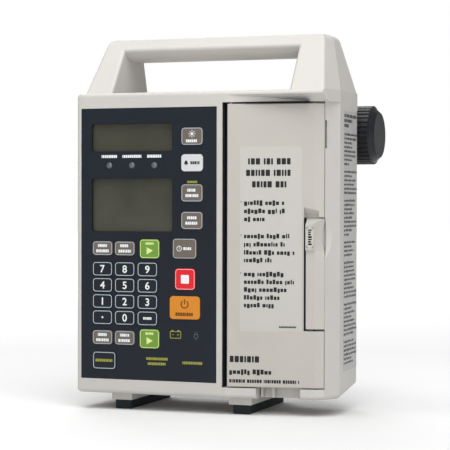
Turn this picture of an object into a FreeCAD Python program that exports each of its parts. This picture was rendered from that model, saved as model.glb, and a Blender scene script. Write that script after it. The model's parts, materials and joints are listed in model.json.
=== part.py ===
import FreeCAD, Part
import math
import os

V = FreeCAD.Vector
os.makedirs("parts", exist_ok=True)

# All sizes are millimetres.  While it is drawn, the pump stands with its feet on Z = 0, the
# front of the keypad panel is the plane Y = 0 and the middle of the case is X = 0.  X runs to
# the right, Y to the back and Z up.  save() moves the finished pieces to the middle of the base.
BASE_X = 5.0
BASE_Y = 62.0

# case
CASE_HALF_W = 100.0
CASE_REAR_HALF_W = 99.0
CASE_Z0 = 12.4
CASE_Z1 = 238.7
CASE_REAR_Y = 77.0
CASE_REAR_Z0 = 18.4
CASE_REAR_Z1 = 231.0
SEAM_Y = 26.3
WALL = 3.0
CORNER_R = 2.5
EDGE_R = 3.0
SEAM_GROOVE = 0.4
FAR = 300.0

# brow: above the door the case keeps its full front, and slopes in underneath
BROW_X1 = 94.0
BROW_Z = 235.7

# housing on the back
HOUSING_X0 = -82.0
HOUSING_X1 = 44.0
HOUSING_Y = 90.0
HOUSING_Z0 = 19.0
HOUSING_Z1 = 180.0

# carrying handle; its sides are widest at the parting line
HANDLE_TOP_Z = 281.8
HANDLE_BASE_HALF_W = 94.0
HANDLE_TOP_SEAM_HALF_W = 88.5
HANDLE_CORNER_R = 7.0
HANDLE_EDGE_R = 2.2
SHOULDER = 4.0
HANDLE_FRONT_Y = 3.2
HANDLE_FRONT_TOP_Y = 33.6
HANDLE_REAR_Y = 76.5
HANDLE_REAR_TOP_Y = 62.5
GRIP_X0 = -72.4
GRIP_X1 = 67.7
GRIP_LOW_Y = 45.0
GRIP_LOW_Z = 264.4
HANDLE_SEAM_TOP_Y = 46.0

# keypad panel and displays
PANEL_X0 = -96.2
PANEL_X1 = 13.0
PANEL_Z0 = 23.2
PANEL_Z1 = 227.2
PANEL_FRONT = 0.1
PANEL_FLANGE = 1.1
PANEL_BACK = 3.0
PANEL_LEDGE = 4.0
BOARD_T = 1.6
LCD_X0 = -87.7
LCD_X1 = -22.1
LCD_UPPER = (194.7, 215.2)
LCD_LOWER = (134.6, 174.2)
LAMP_X = (-73.1, -54.7, -36.6)
LAMP_Z = 184.2
LAMP_R = 1.9

# keys: name, centre X, centre Z, width, height
KEY_FRONT = -0.6
KEY_BACK = 2.4
KEY_GAP = 0.2
KEY_R = 2.6
DIGIT_SIZE = (16.2, 10.7)
DIGIT_COLUMNS = (-78.4, -60.2, -41.8)
DIGIT_TOP_Z = 106.3
DIGIT_PITCH_Z = 12.2
DIGIT_ROWS = (("7", "8", "9"), ("4", "5", "6"), ("1", "2", "3"), ("point", "0", "clear"))
OTHER_KEYS = (
    ("backlight", -6.3, 205.4, 17.0, 13.0),
    ("silence", -6.3, 185.8, 17.0, 12.6),
    ("status", -6.3, 163.5, 17.0, 13.0),
    ("clear_total", -6.3, 143.1, 17.0, 13.0),
    ("time", -12.1, 122.2, 18.8, 14.9),
    ("stop", -11.7, 99.5, 15.9, 15.8),
    ("on_off", -11.9, 78.3, 23.9, 17.1),
    ("primary_rate", -78.4, 121.8, 16.2, 10.6),
    ("primary_volume", -60.2, 121.8, 16.2, 10.6),
    ("primary_start", -40.1, 121.7, 15.8, 14.2),
    ("secondary_rate", -78.4, 54.6, 16.2, 10.6),
    ("secondary_volume", -60.2, 54.6, 16.2, 10.6),
    ("secondary_start", -40.1, 54.4, 15.8, 14.2),
    ("options", -76.9, 37.2, 18.8, 13.2),
)

# door bay and door, seen in plan: the door front slopes back to a bend near its right edge
BAY_X0 = 17.2
BAY_X1 = 92.05
BAY_Z0 = 20.2
BAY_Z1 = 230.1
BAY_FLOOR_Y = 18.0
BAY_FLOOR_T = 3.0
DOOR_X0 = 20.8
DOOR_BEND_X = 85.0
DOOR_BEND_Y = 10.2
DOOR_X1 = 91.9
DOOR_EDGE_Y = 13.2
DOOR_FRONT_Y = 0.3
DOOR_Z0 = 20.9
DOOR_Z1 = 229.0
DOOR_BACK_Y = 15.0
LINER_BACK_Y = 16.5
DOOR_WALL = 2.6
HINGE_X = 22.5
HINGE_Y = 4.5
HINGE_PIN_R = 1.0
RUNNING_GAP = 0.05
TUBE_X = 49.0
TUBE_CHANNEL_W = 5.4
NOTCH_X0 = 42.5
NOTCH_X1 = 75.0
NOTCH_RIB_Y = 12.0
TUBE_SLOT_HALF_W = 4.0
TUBE_SLOT_Y0 = 11.0
SLIT_Z0 = 196.0
SLIT_Z1 = 216.4

# latch lever
LATCH_X0 = 78.9
LATCH_Z0 = 64.3
LATCH_Z1 = 144.7
LATCH_GAP_X0 = 77.3
LATCH_POCKET_Z0 = 62.7
LATCH_POCKET_Z1 = 146.0
LATCH_BACK_Y = 14.8
LATCH_BLOCK_Z0 = 121.8
LATCH_BLOCK_X1 = 85.6
LATCH_BLOCK_PROUD = 1.5
LATCH_BEVEL = 4.4
LATCH_PIVOT_Y = 14.2
LATCH_PIVOT_Z = 67.6
LATCH_PIN_R = 1.1
LATCH_ARM_X0 = 83.0
LATCH_ARM_X1 = 88.0
SCOOP_TOP_Z = 153.5
LATCH_HOOK_Z = 66.4
STRIKE_TOP_Z = 65.2
DISH_R = 40.0
DISH_CENTRE = (114.9, -15.9, 131.0)

# platen
PLATEN_HALF_W = 9.0
PLATEN_Z0 = 84.0
PLATEN_Z1 = 166.0
PLATEN_FRONT_Y = 13.4
PLATEN_SPRING_Z = (100.0, 150.0)
SPRING_R = 3.0
SPRING_WIRE_R = 0.4
SPRING_TURNS = 5

# pump mechanism
SHAFT_Y = 37.0
SHAFT_R = 3.0
SHAFT_Z0 = 74.0
SHAFT_Z1 = 194.0
CAM_R = 8.0
CAM_THROW = 1.2
CAM_T = 5.0
CAM_COUNT = 8
CAM_Z0 = 88.5
CAM_PITCH = 9.0
FINGER_T = 7.6
FINGER_HALF_W = 4.8
FINGER_TIP_Y = 19.6
YOKE_HALF_W = 12.0
YOKE_WALL = 2.2
YOKE_WINDOW = 10.7
HEAD_HALF_W = 13.0
HEAD_FRONT_Y = 17.6
HEAD_Z0 = 24.0
HEAD_Z1 = 206.0
SENSOR_Z0 = 206.4
SENSOR_Z1 = 224.0
SENSOR_HALF_W = 7.0
TUBE_CHANNEL_BACK_Y = 20.8
ARM_T = 4.0
LOWER_ARM_Z = 76.0
UPPER_ARM_Z = 180.0
BEARING_R = 6.0
GEAR_MODULE = 0.75
GEAR_TEETH = 40
PINION_TEETH = 20
GEAR_Z0 = 186.0
GEAR_T = 6.0
MOTOR_HALF_W = 10.0
MOTOR_Z0 = 140.0
MOTOR_SHAFT_R = 2.5

# feet
FOOT_BLOCKS = ((-74.2, -57.8), (20.1, 37.5))
FOOT_PADS = ((-71.5, -59.0), (23.2, 36.2))
FOOT_BLOCK_Z = 7.0
FOOT_Y0 = 8.0
FOOT_Y1 = 91.0

# pole clamp: a vertical pole sits in the saddle and the screw presses the pad on it
CLAMP_AXIS_Y = 102.0
CLAMP_AXIS_Z = 208.7
CLAMP_Z0 = 190.2
CLAMP_Z1 = 227.2
POLE_R = 16.0
POLE_X = 12.0
SADDLE_X0 = -14.0
CLAMP_PLATE_Y1 = 84.0
CLAMP_JAW_Y1 = 118.0
CLAMP_ARM_X0 = 51.0
CLAMP_ARM_X1 = 62.0
PAD_X0 = 30.0
PAD_T = 5.0
PAD_R = 9.0
SCREW_R = 5.0
KNOB_X0 = 84.0
KNOB_X1 = 110.0
KNOB_R = 22.6
KNOB_RIBS = 36
KNOB_RIB_DEPTH = 0.9

# mains inlet, in the back wall
INLET_X = 62.0
INLET_Z = 52.0
INLET_W = 27.0
INLET_H = 19.6
SCREW_SPOTS = ((-86.0, 32.0), (86.0, 32.0), (-86.0, 216.0), (86.0, 216.0))


def save(node, shape):
    """Move a finished piece to the shared frame and write it."""
    moved = shape.copy()
    moved.translate(V(-BASE_X, -BASE_Y, 0))
    moved.exportStep("parts/" + node + ".step")


def block(x0, x1, y0, y1, z0, z1):
    return Part.makeBox(x1 - x0, y1 - y0, z1 - z0, V(x0, y0, z0))


def prism(corners, direction):
    wire = Part.makePolygon(corners + corners[:1])
    return Part.Face(wire).extrude(direction)


def plan_prism(points, z0, z1):
    """Upright prism on an outline of (x, y) points."""
    return prism([V(x, y, z0) for x, y in points], V(0, 0, z1 - z0))


def side_prism(points, x0, x1):
    """Prism along X on an outline of (y, z) points."""
    return prism([V(x0, y, z) for y, z in points], V(x1 - x0, 0, 0))


def rod(radius, start, direction, length):
    return Part.makeCylinder(radius, length, start, direction)


def fillet_where(shape, radius, chosen):
    """Round the edges whose two ends both pass the test."""
    edges = []
    for edge in shape.Edges:
        ends = [vertex.Point for vertex in edge.Vertexes]
        if len(ends) == 2 and chosen(ends[0], ends[1]):
            edges.append(edge)
    return shape.makeFillet(radius, edges)


def runs_along_y(a, b):
    return abs(a.x - b.x) < 0.01 and abs(a.z - b.z) < 0.01


def runs_along_z(a, b):
    return abs(a.x - b.x) < 0.01 and abs(a.y - b.y) < 0.01


def rounded_block(x0, x1, y0, y1, z0, z1, radius):
    """Block whose four edges along Y are round."""
    return fillet_where(block(x0, x1, y0, y1, z0, z1), radius, runs_along_y)


def all_keys():
    """Every key as name, centre X, centre Z, width, height."""
    keys = list(OTHER_KEYS)
    for row, names in enumerate(DIGIT_ROWS):
        for column, name in enumerate(names):
            z = DIGIT_TOP_Z - row * DIGIT_PITCH_Z
            keys.append((name, DIGIT_COLUMNS[column], z) + DIGIT_SIZE)
    return keys


def key_block(x, z, width, height, y0, y1, gap):
    half_w = width / 2 + gap
    half_h = height / 2 + gap
    return rounded_block(x - half_w, x + half_w, y0, y1, z - half_h, z + half_h, KEY_R + gap)


def door_front(x):
    """Y of the door's front plane at a place along its width."""
    slope = (DOOR_BEND_Y - DOOR_FRONT_Y) / (DOOR_BEND_X - DOOR_X0)
    return DOOR_FRONT_Y + (x - DOOR_X0) * slope


# ---------------------------------------------------------------- case

def front_block(inset):
    """The case in front of the seam, without its handle, shrunk by inset on its outer sides."""
    side = CASE_HALF_W - inset
    bend_y = DOOR_BEND_Y - DOOR_FRONT_Y
    top = CASE_Z1 - inset
    bottom = CASE_Z0 + inset
    plan = [(-side, SEAM_Y), (-side, inset), (DOOR_X0, inset), (DOOR_BEND_X, bend_y + inset),
            (BAY_X1, DOOR_EDGE_Y + inset), (side, SEAM_Y)]
    body = plan_prism(plan, bottom, top)
    brow = plan_prism([(DOOR_X0, inset), (BROW_X1 - inset, inset), (side, SEAM_Y),
                       (BAY_X1, DOOR_EDGE_Y + inset)], BAY_Z1, top)
    slope = (BROW_Z - BAY_Z1) / bend_y
    brow = brow.cut(side_prism([(-1, BAY_Z1 - 1), (-1, BROW_Z + slope),
                                (bend_y + 1 / slope, BAY_Z1 - 1)], -FAR, FAR))
    body = body.fuse(brow).removeSplitter()
    body = fillet_where(body, CORNER_R, lambda a, b: runs_along_z(a, b)
                        and a.x < 0 and a.y < inset + 0.01)

    body = fillet_where(body, EDGE_R, lambda a, b: min(a.z, b.z) > top - 0.01
                        and max(a.y, b.y) < inset + 0.01)
    return fillet_where(body, EDGE_R, lambda a, b: max(a.z, b.z) < bottom + 0.01
                        and min(a.y, b.y) < SEAM_Y - 0.01)


def rear_block(inset):
    """The case behind the seam: its underside rises and its top falls towards the back."""
    side = CASE_HALF_W - inset
    rear_side = CASE_REAR_HALF_W - inset
    rear_y = CASE_REAR_Y - inset
    body = plan_prism([(-side, SEAM_Y), (side, SEAM_Y), (rear_side, rear_y), (-rear_side, rear_y)],
                      CASE_Z0, CASE_Z1)
    profile = side_prism([(SEAM_Y, CASE_Z0 + inset), (SEAM_Y, CASE_Z1 - inset),
                          (CASE_REAR_Y, CASE_REAR_Z1 - inset), (CASE_REAR_Y, CASE_REAR_Z0 + inset)],
                         -FAR, FAR)
    body = body.common(profile)
    return fillet_where(body, EDGE_R, lambda a, b: max(a.y, b.y) > SEAM_Y + 0.01
                        and (a.x < 0 or min(a.z, b.z) < CASE_REAR_Z1 - inset - 1))


def half_space(a, b, c, inside):
    """A large block that ends at the plane through three points and holds the point inside."""
    normal = (b - a).cross(c - a).normalize()
    if normal.dot(inside - a) < 0:
        normal = normal * -1
    slab = Part.makeBox(4 * FAR, 4 * FAR, 2 * FAR, V(-2 * FAR, -2 * FAR, 0))
    slab.Placement = FreeCAD.Placement(a, FreeCAD.Rotation(V(0, 0, 1), normal))
    return slab


def handle_face(low_y, top_y):
    """Three points of the handle's leaning front or back."""
    return V(0, low_y, CASE_Z1), V(1, low_y, CASE_Z1), V(0, top_y, HANDLE_TOP_Z)


def on_plane(edge, plane):
    normal = (plane[1] - plane[0]).cross(plane[2] - plane[0]).normalize()
    middle = edge.valueAt((edge.FirstParameter + edge.LastParameter) / 2)
    points = [vertex.Point for vertex in edge.Vertexes] + [middle]
    return all(abs((point - plane[0]).dot(normal)) < 0.01 for point in points)


def handle_block():
    """Tapered handle: a leaning front and back, sides in line with the case, a hand opening."""
    inside = V(0, HANDLE_SEAM_TOP_Y, CASE_Z1 + 10)
    front = handle_face(HANDLE_FRONT_Y, HANDLE_FRONT_TOP_Y)
    rear = handle_face(HANDLE_REAR_Y, HANDLE_REAR_TOP_Y)
    handle = block(-CASE_HALF_W, CASE_HALF_W, 0, CASE_REAR_Y, CASE_Z1, HANDLE_TOP_Z)
    handle = handle.common(half_space(*front, inside)).common(half_space(*rear, inside))
    for sign, half_w in ((-1, CASE_HALF_W - SHOULDER), (1, CASE_HALF_W)):
        low_front = V(sign * HANDLE_BASE_HALF_W, HANDLE_FRONT_Y, CASE_Z1)
        low_seam = V(sign * half_w, SEAM_Y, CASE_Z1)
        low_rear = V(sign * (half_w - 1.0), HANDLE_REAR_Y, CASE_Z1)
        top_seam = V(sign * HANDLE_TOP_SEAM_HALF_W, HANDLE_SEAM_TOP_Y, HANDLE_TOP_Z)
        handle = handle.common(half_space(low_front, low_seam, top_seam, inside))
        handle = handle.common(half_space(low_seam, low_rear, top_seam, inside))
    handle = fillet_where(handle, HANDLE_CORNER_R, lambda a, b: min(a.z, b.z) > HANDLE_TOP_Z - 0.01
                          and a.x * b.x > 0 and abs(a.y - b.y) > 5)
    handle = handle.cut(handle_opening()).Solids[0]
    soft = []
    for edge in handle.Edges:
        lifted = max(vertex.Z for vertex in edge.Vertexes) > CASE_Z1 + 0.01
        if lifted and (on_plane(edge, front) or on_plane(edge, rear)):
            soft.append(edge)
    return handle.makeFillet(HANDLE_EDGE_R, soft)


def handle_roots():
    """The legs' feet behind the seam, where the top of the case falls away under them."""
    margin = 0.4
    roots = []
    for grip_x, outer, sign in ((GRIP_X0, CASE_HALF_W - SHOULDER, -1), (GRIP_X1, CASE_HALF_W, 1)):
        plan = [(grip_x, SEAM_Y), (sign * (outer - 0.05), SEAM_Y),
                (sign * (outer - 1.0), HANDLE_REAR_Y), (grip_x, HANDLE_REAR_Y)]
        roots.append(plan_prism(plan, CASE_REAR_Z1 - 5.0, CASE_Z1 + margin))
    return roots[0].fuse(roots[1])


def handle_opening():
    """Space under the grip; its roof is the rounded underside of the grip."""
    top_front = V(GRIP_X0, 25.3, 275.9)
    low = V(GRIP_X0, GRIP_LOW_Y, GRIP_LOW_Z)
    rear = V(GRIP_X0, 72.0, 268.3)
    bulge = Part.Arc(top_front, V(GRIP_X0, 31.6, 268.8), low).toShape()
    outline = [V(GRIP_X0, FAR, 270.0), V(GRIP_X0, FAR, CASE_Z1 - 20.0),
               V(GRIP_X0, -20.0, CASE_Z1 - 20.0), V(GRIP_X0, -20.0, 275.9)]
    straight = [Part.makeLine(low, rear), Part.makeLine(rear, outline[0])]
    for start, end in zip(outline[:-1], outline[1:]):
        straight.append(Part.makeLine(start, end))
    straight.append(Part.makeLine(outline[-1], top_front))
    wire = Part.Wire(Part.__sortEdges__([bulge] + straight))
    opening = Part.Face(wire).extrude(V(GRIP_X1 - GRIP_X0, 0, 0))
    above_case = side_prism([(-FAR, CASE_Z1), (SEAM_Y, CASE_Z1),
                             (FAR, CASE_Z1 - (FAR - SEAM_Y) * (CASE_Z1 - CASE_REAR_Z1)
                              / (CASE_REAR_Y - SEAM_Y)), (FAR, FAR), (-FAR, FAR)], -FAR, FAR)
    return opening.common(above_case)


def front_region():
    """Everything in front of the parting surface, which leans back inside the handle."""
    return side_prism([(-FAR, -10), (SEAM_Y, -10), (SEAM_Y, CASE_Z1),
                       (HANDLE_SEAM_TOP_Y, HANDLE_TOP_Z), (HANDLE_SEAM_TOP_Y, FAR), (-FAR, FAR)],
                      -FAR, FAR)


def seam_groove(block_at):
    """Fine groove round one half of the case along the seam; block_at gives that half."""
    half = SEAM_GROOVE / 2
    slab = block(-FAR, FAR, SEAM_Y - half, SEAM_Y + half, 0, CASE_Z1)
    return slab.common(block_at(0.0)).cut(block_at(SEAM_GROOVE))


def foot_blocks():
    """Bars moulded under the case, one over each rubber foot."""
    bars = []
    for x0, x1 in FOOT_BLOCKS:
        bar = block(x0, x1, FOOT_Y0, FOOT_Y1, FOOT_BLOCK_Z, CASE_Z0 + 9.0)
        bars.append(bar)
    return bars[0].fuse(bars[1])


def front_cavity():
    left = block(-CASE_HALF_W + WALL, BAY_X0 - WALL, WALL, SEAM_Y, CASE_Z0 + WALL, CASE_Z1 - WALL)
    floor_back = BAY_FLOOR_Y + BAY_FLOOR_T
    right = plan_prism([(BAY_X0 - WALL - 1, floor_back), (BAY_X1 + 1.2, floor_back),
                        (CASE_HALF_W - WALL - 0.2, SEAM_Y), (BAY_X0 - WALL - 1, SEAM_Y)],
                       CASE_Z0 + WALL, CASE_Z1 - WALL)
    return left.fuse(right)


def rear_cavity():
    z_low = CASE_Z0 + WALL
    z_high = CASE_Z1 - WALL
    inner_y = CASE_REAR_Y - WALL
    return side_prism([(SEAM_Y, z_low), (inner_y, z_low + 5.8), (inner_y, z_high - 7.4),
                       (SEAM_Y, z_high)], -CASE_REAR_HALF_W + WALL, CASE_REAR_HALF_W - WALL)


def thumb_dish():
    """Ball that leaves a shallow dish beside the top of the latch lever."""
    return Part.makeSphere(DISH_R, V(*DISH_CENTRE))


def make_front_case():
    case = front_block(0.0).fuse(handle_block().common(front_region()))
    case = case.fuse(foot_blocks().common(block(-FAR, FAR, 0, SEAM_Y, 0, FAR)))
    case = case.cut(front_cavity())
    # recess and window of the keypad panel
    case = case.cut(block(PANEL_X0, PANEL_X1, -1, PANEL_FLANGE, PANEL_Z0, PANEL_Z1))
    case = case.cut(block(PANEL_X0 + PANEL_LEDGE, PANEL_X1 - PANEL_LEDGE, 0, PANEL_BACK + 1,
                          PANEL_Z0 + PANEL_LEDGE, PANEL_Z1 - PANEL_LEDGE))
    # door bay, tube way out below, tube way in above
    case = case.cut(block(BAY_X0, BAY_X1, -5, BAY_FLOOR_Y, BAY_Z0, BAY_Z1))
    notch = rounded_block(NOTCH_X0, NOTCH_X1, -5, BAY_FLOOR_Y, CASE_Z0 - 9, BAY_Z0 + 3, EDGE_R)
    case = case.cut(notch)
    case = case.cut(block(TUBE_X - TUBE_SLOT_HALF_W, TUBE_X + TUBE_SLOT_HALF_W, TUBE_SLOT_Y0,
                          BAY_FLOOR_Y, BAY_Z1 - 1, CASE_Z1 + 1))
    # pump head window, tube sensor window and latch slot in the bay floor
    through = (BAY_FLOOR_Y - 1, BAY_FLOOR_Y + BAY_FLOOR_T + 1)
    case = case.cut(block(TUBE_X - HEAD_HALF_W, TUBE_X + HEAD_HALF_W, through[0], through[1],
                          HEAD_Z0, HEAD_Z1))
    case = case.cut(block(TUBE_X - SENSOR_HALF_W, TUBE_X + SENSOR_HALF_W, through[0], through[1],
                          HEAD_Z1 - 1, SENSOR_Z1))
    case = case.cut(block(81.0, 90.5, through[0], through[1], 60, 82))
    # slit beside the door
    case = case.cut(block(BAY_X1 - 1, BAY_X1 + 1.0, 10, BAY_FLOOR_Y, SLIT_Z0, SLIT_Z1))
    # ribs that guide the tube out below
    for side in (-1, 1):
        rib_x = TUBE_X + side * 4.4
        case = case.fuse(block(rib_x - 0.9, rib_x + 0.9, NOTCH_RIB_Y, BAY_FLOOR_Y + 1, CASE_Z0 + 0.6,
                               BAY_Z0))
    # sockets of the door hinge pins
    for z0, z1 in hinge_pin_spans():
        case = case.cut(rod(HINGE_PIN_R, V(HINGE_X, HINGE_Y, z0), V(0, 0, 1), z1 - z0))
    case = case.cut(thumb_dish())
    return case.cut(seam_groove(front_block)).removeSplitter()


def make_rear_case():
    case = rear_block(0.0).fuse(handle_block().cut(front_region())).fuse(handle_roots())
    case = case.fuse(foot_blocks().common(block(-FAR, FAR, SEAM_Y, FAR, 0, FAR)))
    case = case.fuse(rear_housing())
    case = case.cut(rear_cavity())
    case = case.cut(block(HOUSING_X0 + WALL, HOUSING_X1 - WALL, CASE_REAR_Y - 2 * WALL, HOUSING_Y - WALL,
                          HOUSING_Z0 + WALL, HOUSING_Z1 - WALL))
    case = case.cut(block(INLET_X - INLET_W / 2, INLET_X + INLET_W / 2, 60, 90,
                          INLET_Z - INLET_H / 2, INLET_Z + INLET_H / 2))
    # loudspeaker and cooling slots
    for step in range(7):
        z = 40.0 + 6.0 * step
        case = case.cut(block(-60, -20, 70, HOUSING_Y + 1, z, z + 2.4))
    for step in range(9):
        x = -66.0 + 7.0 * step
        case = case.cut(block(x, x + 2.6, 70, HOUSING_Y + 1, 110, 150))
    for x, z in SCREW_SPOTS:
        case = case.cut(rod(2.0, V(x, 60, z), V(0, 1, 0), 30))
        case = case.cut(rod(4.0, V(x, CASE_REAR_Y - 1.4, z), V(0, 1, 0), 10))
    return case.cut(seam_groove(rear_block)).removeSplitter()


def rear_housing():
    """Raised battery and ventilation housing on the back, over the rear ends of the feet."""
    housing = block(HOUSING_X0, HOUSING_X1, CASE_REAR_Y - WALL, HOUSING_Y, HOUSING_Z0, HOUSING_Z1)
    return fillet_where(housing, 4.0, lambda a, b: max(a.y, b.y) > HOUSING_Y - 0.01)


def make_case_screws():
    screws = []
    for x, z in SCREW_SPOTS:
        shank = rod(1.9, V(x, 62, z), V(0, 1, 0), CASE_REAR_Y - 1.4 - 62)
        head = rod(3.6, V(x, CASE_REAR_Y - 1.4, z), V(0, 1, 0), 2.2)
        cross = block(x - 2.2, x + 2.2, CASE_REAR_Y - 0.2, CASE_REAR_Y + 2, z - 0.4, z + 0.4)
        bar = block(x - 0.4, x + 0.4, CASE_REAR_Y - 0.2, CASE_REAR_Y + 2, z - 2.2, z + 2.2)
        screws.append(shank.fuse(head).cut(cross).cut(bar))
    return Part.makeCompound(screws)


def make_rubber_feet():
    feet = []
    for x0, x1 in FOOT_PADS:
        pad = block(x0, x1, FOOT_Y0 + 1, FOOT_Y1 - 1, 0, FOOT_BLOCK_Z)
        feet.append(fillet_where(pad, 1.0, lambda a, b: a.z < 0.01 and b.z < 0.01))
    return Part.makeCompound(feet)


# ---------------------------------------------------------------- keypad and displays

def make_keypad_panel():
    flange = rounded_block(PANEL_X0, PANEL_X1, PANEL_FRONT, PANEL_FLANGE, PANEL_Z0, PANEL_Z1, 0.4)
    tray = block(PANEL_X0 + PANEL_LEDGE, PANEL_X1 - PANEL_LEDGE, PANEL_FLANGE, PANEL_BACK,
                 PANEL_Z0 + PANEL_LEDGE, PANEL_Z1 - PANEL_LEDGE)
    panel = flange.fuse(tray)
    for name, x, z, width, height in all_keys():
        panel = panel.cut(key_block(x, z, width, height, -1, PANEL_BACK + 1, KEY_GAP))
    for z0, z1 in (LCD_UPPER, LCD_LOWER):
        panel = panel.cut(rounded_block(LCD_X0, LCD_X1, -1, PANEL_BACK + 1, z0, z1, 2.0))
    for x in LAMP_X:
        panel = panel.cut(rod(LAMP_R + 0.1, V(x, -1, LAMP_Z), V(0, 1, 0), 5))
    return panel


def make_key(x, z, width, height):
    key = key_block(x, z, width, height, KEY_FRONT, KEY_BACK, 0)
    return fillet_where(key, 0.3, lambda a, b: a.y < KEY_FRONT + 0.01 and b.y < KEY_FRONT + 0.01)


def make_status_lamps():
    lamps = []
    for x in LAMP_X:
        body = rod(LAMP_R, V(x, 0.2, LAMP_Z), V(0, 1, 0), PANEL_BACK - 0.2)
        dome = Part.makeSphere(3.0, V(x, 2.4, LAMP_Z)).common(block(x - 3, x + 3, -1, 0.2,
                                                                    LAMP_Z - 3, LAMP_Z + 3))
        lamps.append(body.fuse(dome))
    return Part.makeCompound(lamps)


def make_keypad_board():
    board = block(PANEL_X0 + 1.6, PANEL_X1 - 1.0, PANEL_BACK, PANEL_BACK + BOARD_T,
                  PANEL_Z0 + 1.6, PANEL_Z1 - 1.6)
    for z0, z1 in (LCD_UPPER, LCD_LOWER):
        board = board.cut(block(LCD_X0 - 2.3, LCD_X1 + 2.3, 0, 10, z0 - 2.3, z1 + 2.3))
    return board


def make_lcd(z0, z1):
    glass = block(LCD_X0 - 2, LCD_X1 + 2, PANEL_BACK + 0.1, PANEL_BACK + BOARD_T, z0 - 2, z1 + 2)
    module = block(LCD_X0 - 4, LCD_X1 + 4, PANEL_BACK + BOARD_T, 9.0, z0 - 4, z1 + 4)
    return glass.fuse(module)


def make_main_board():
    board = block(-90, 8, 56, 57.6, 76, 226)
    chips = [(-70, -44, 190, 206), (-30, -12, 150, 168), (-72, -52, 110, 124), (-30, 0, 94, 104)]
    for x0, x1, z0, z1 in chips:
        board = board.fuse(block(x0, x1, 52.5, 56, z0, z1))
    return board


def make_power_supply():
    supply = block(-92, -20, 22, 50, 74, 82)
    core = block(-84, -48, 24, 48, 82, 112)
    coil = block(-78, -54, 22.5, 49.5, 88, 106)
    capacitor = rod(7.5, V(-34, 36, 82), V(0, 0, 1), 24)
    return supply.fuse(core).fuse(coil).fuse(capacitor)


def make_battery_pack():
    pack = block(-92, 4, 29, 53, 22, 70)
    pack = fillet_where(pack, 1.5, runs_along_z)
    for x in (-84, -4):
        pack = pack.fuse(block(x - 2, x + 2, 40, 40.8, 70, 73))
    return pack


def make_mains_inlet():
    half_w = INLET_W / 2
    half_h = INLET_H / 2
    body = block(INLET_X - half_w, INLET_X + half_w, 56, CASE_REAR_Y, INLET_Z - half_h,
                 INLET_Z + half_h)
    flange = rounded_block(INLET_X - half_w - 3, INLET_X + half_w + 3, CASE_REAR_Y, CASE_REAR_Y + 2,
                           INLET_Z - half_h - 3, INLET_Z + half_h + 3, 2.0)
    inlet = body.fuse(flange)
    inlet = inlet.cut(block(INLET_X - 12, INLET_X + 12, 61, 90, INLET_Z - 8.2, INLET_Z + 8.2))
    for x, z in ((-7, -2), (0, 2), (7, -2)):
        inlet = inlet.fuse(block(INLET_X + x - 1, INLET_X + x + 1, 60, 72, INLET_Z + z - 2,
                                 INLET_Z + z + 2))
    return inlet


# ---------------------------------------------------------------- door

def hinge_pin_spans():
    """Lower and upper hinge pin as (low Z, high Z)."""
    return ((DOOR_Z0 - 5.0, DOOR_Z0 + 6.0), (DOOR_Z1 - 6.0, DOOR_Z1 + 5.0))


def make_hinge_pins():
    pins = []
    for z0, z1 in hinge_pin_spans():
        pins.append(rod(HINGE_PIN_R, V(HINGE_X, HINGE_Y, z0), V(0, 0, 1), z1 - z0))
    return Part.makeCompound(pins)


def make_door_panel():
    plan = [(DOOR_X0, DOOR_FRONT_Y), (DOOR_BEND_X, DOOR_BEND_Y), (DOOR_X1, DOOR_EDGE_Y),
            (DOOR_X1 - 0.5, DOOR_BACK_Y), (DOOR_X0, DOOR_BACK_Y)]
    door = plan_prism(plan, DOOR_Z0, DOOR_Z1)
    door = fillet_where(door, 1.0, lambda a, b: a.y < DOOR_EDGE_Y + 0.01 and b.y < DOOR_EDGE_Y + 0.01
                        and (a.z > DOOR_Z1 - 0.01 or a.z < DOOR_Z0 + 0.01 or a.x < DOOR_X0 + 0.01))
    hollow_x0 = 26.0
    hollow_x1 = 71.0
    hollow = plan_prism([(hollow_x0, door_front(hollow_x0) + DOOR_WALL),
                         (hollow_x1, door_front(hollow_x1) + DOOR_WALL),
                         (hollow_x1, DOOR_BACK_Y + 1), (hollow_x0, DOOR_BACK_Y + 1)],
                        DOOR_Z0 + DOOR_WALL, DOOR_Z1 - DOOR_WALL)
    door = door.cut(hollow)
    for z0, z1 in ((DOOR_Z0 + DOOR_WALL, LATCH_POCKET_Z0 - DOOR_WALL),
                   (SCOOP_TOP_Z + DOOR_WALL, DOOR_Z1 - DOOR_WALL)):
        door = door.cut(block(hollow_x1 - 1, 84, DOOR_BEND_Y + DOOR_WALL, DOOR_BACK_Y + 1, z0, z1))
    door = door.cut(block(LATCH_GAP_X0, FAR, -5, DOOR_BACK_Y + 1, LATCH_POCKET_Z0, LATCH_POCKET_Z1))
    scoop = side_prism([(LATCH_BACK_Y, LATCH_POCKET_Z1 - 1), (LATCH_BACK_Y - 0.6, LATCH_POCKET_Z1 + 1),
                        (door_front(LATCH_X0) - 0.6, SCOOP_TOP_Z), (-5, SCOOP_TOP_Z),
                        (-5, LATCH_POCKET_Z1 - 1)], LATCH_GAP_X0, 88.0)
    door = door.cut(scoop)
    for z0, z1 in hinge_pin_spans():
        door = door.cut(rod(HINGE_PIN_R + RUNNING_GAP, V(HINGE_X, HINGE_Y, z0 - 0.1), V(0, 0, 1),
                            z1 - z0 + 0.2))
    return door.cut(latch_pin_rod(0.0))


def make_door_liner():
    liner = block(DOOR_X0 + 0.6, DOOR_X1 - 1.3, DOOR_BACK_Y, LINER_BACK_Y, DOOR_Z0 + 0.8, DOOR_Z1 - 0.8)
    liner = liner.cut(block(TUBE_X - PLATEN_HALF_W - 0.3, TUBE_X + PLATEN_HALF_W + 0.3, 0, 30,
                            PLATEN_Z0 - 0.3, PLATEN_Z1 + 0.3))
    return liner.cut(block(LATCH_GAP_X0, FAR, 0, 30, LATCH_POCKET_Z0, 84))


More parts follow.
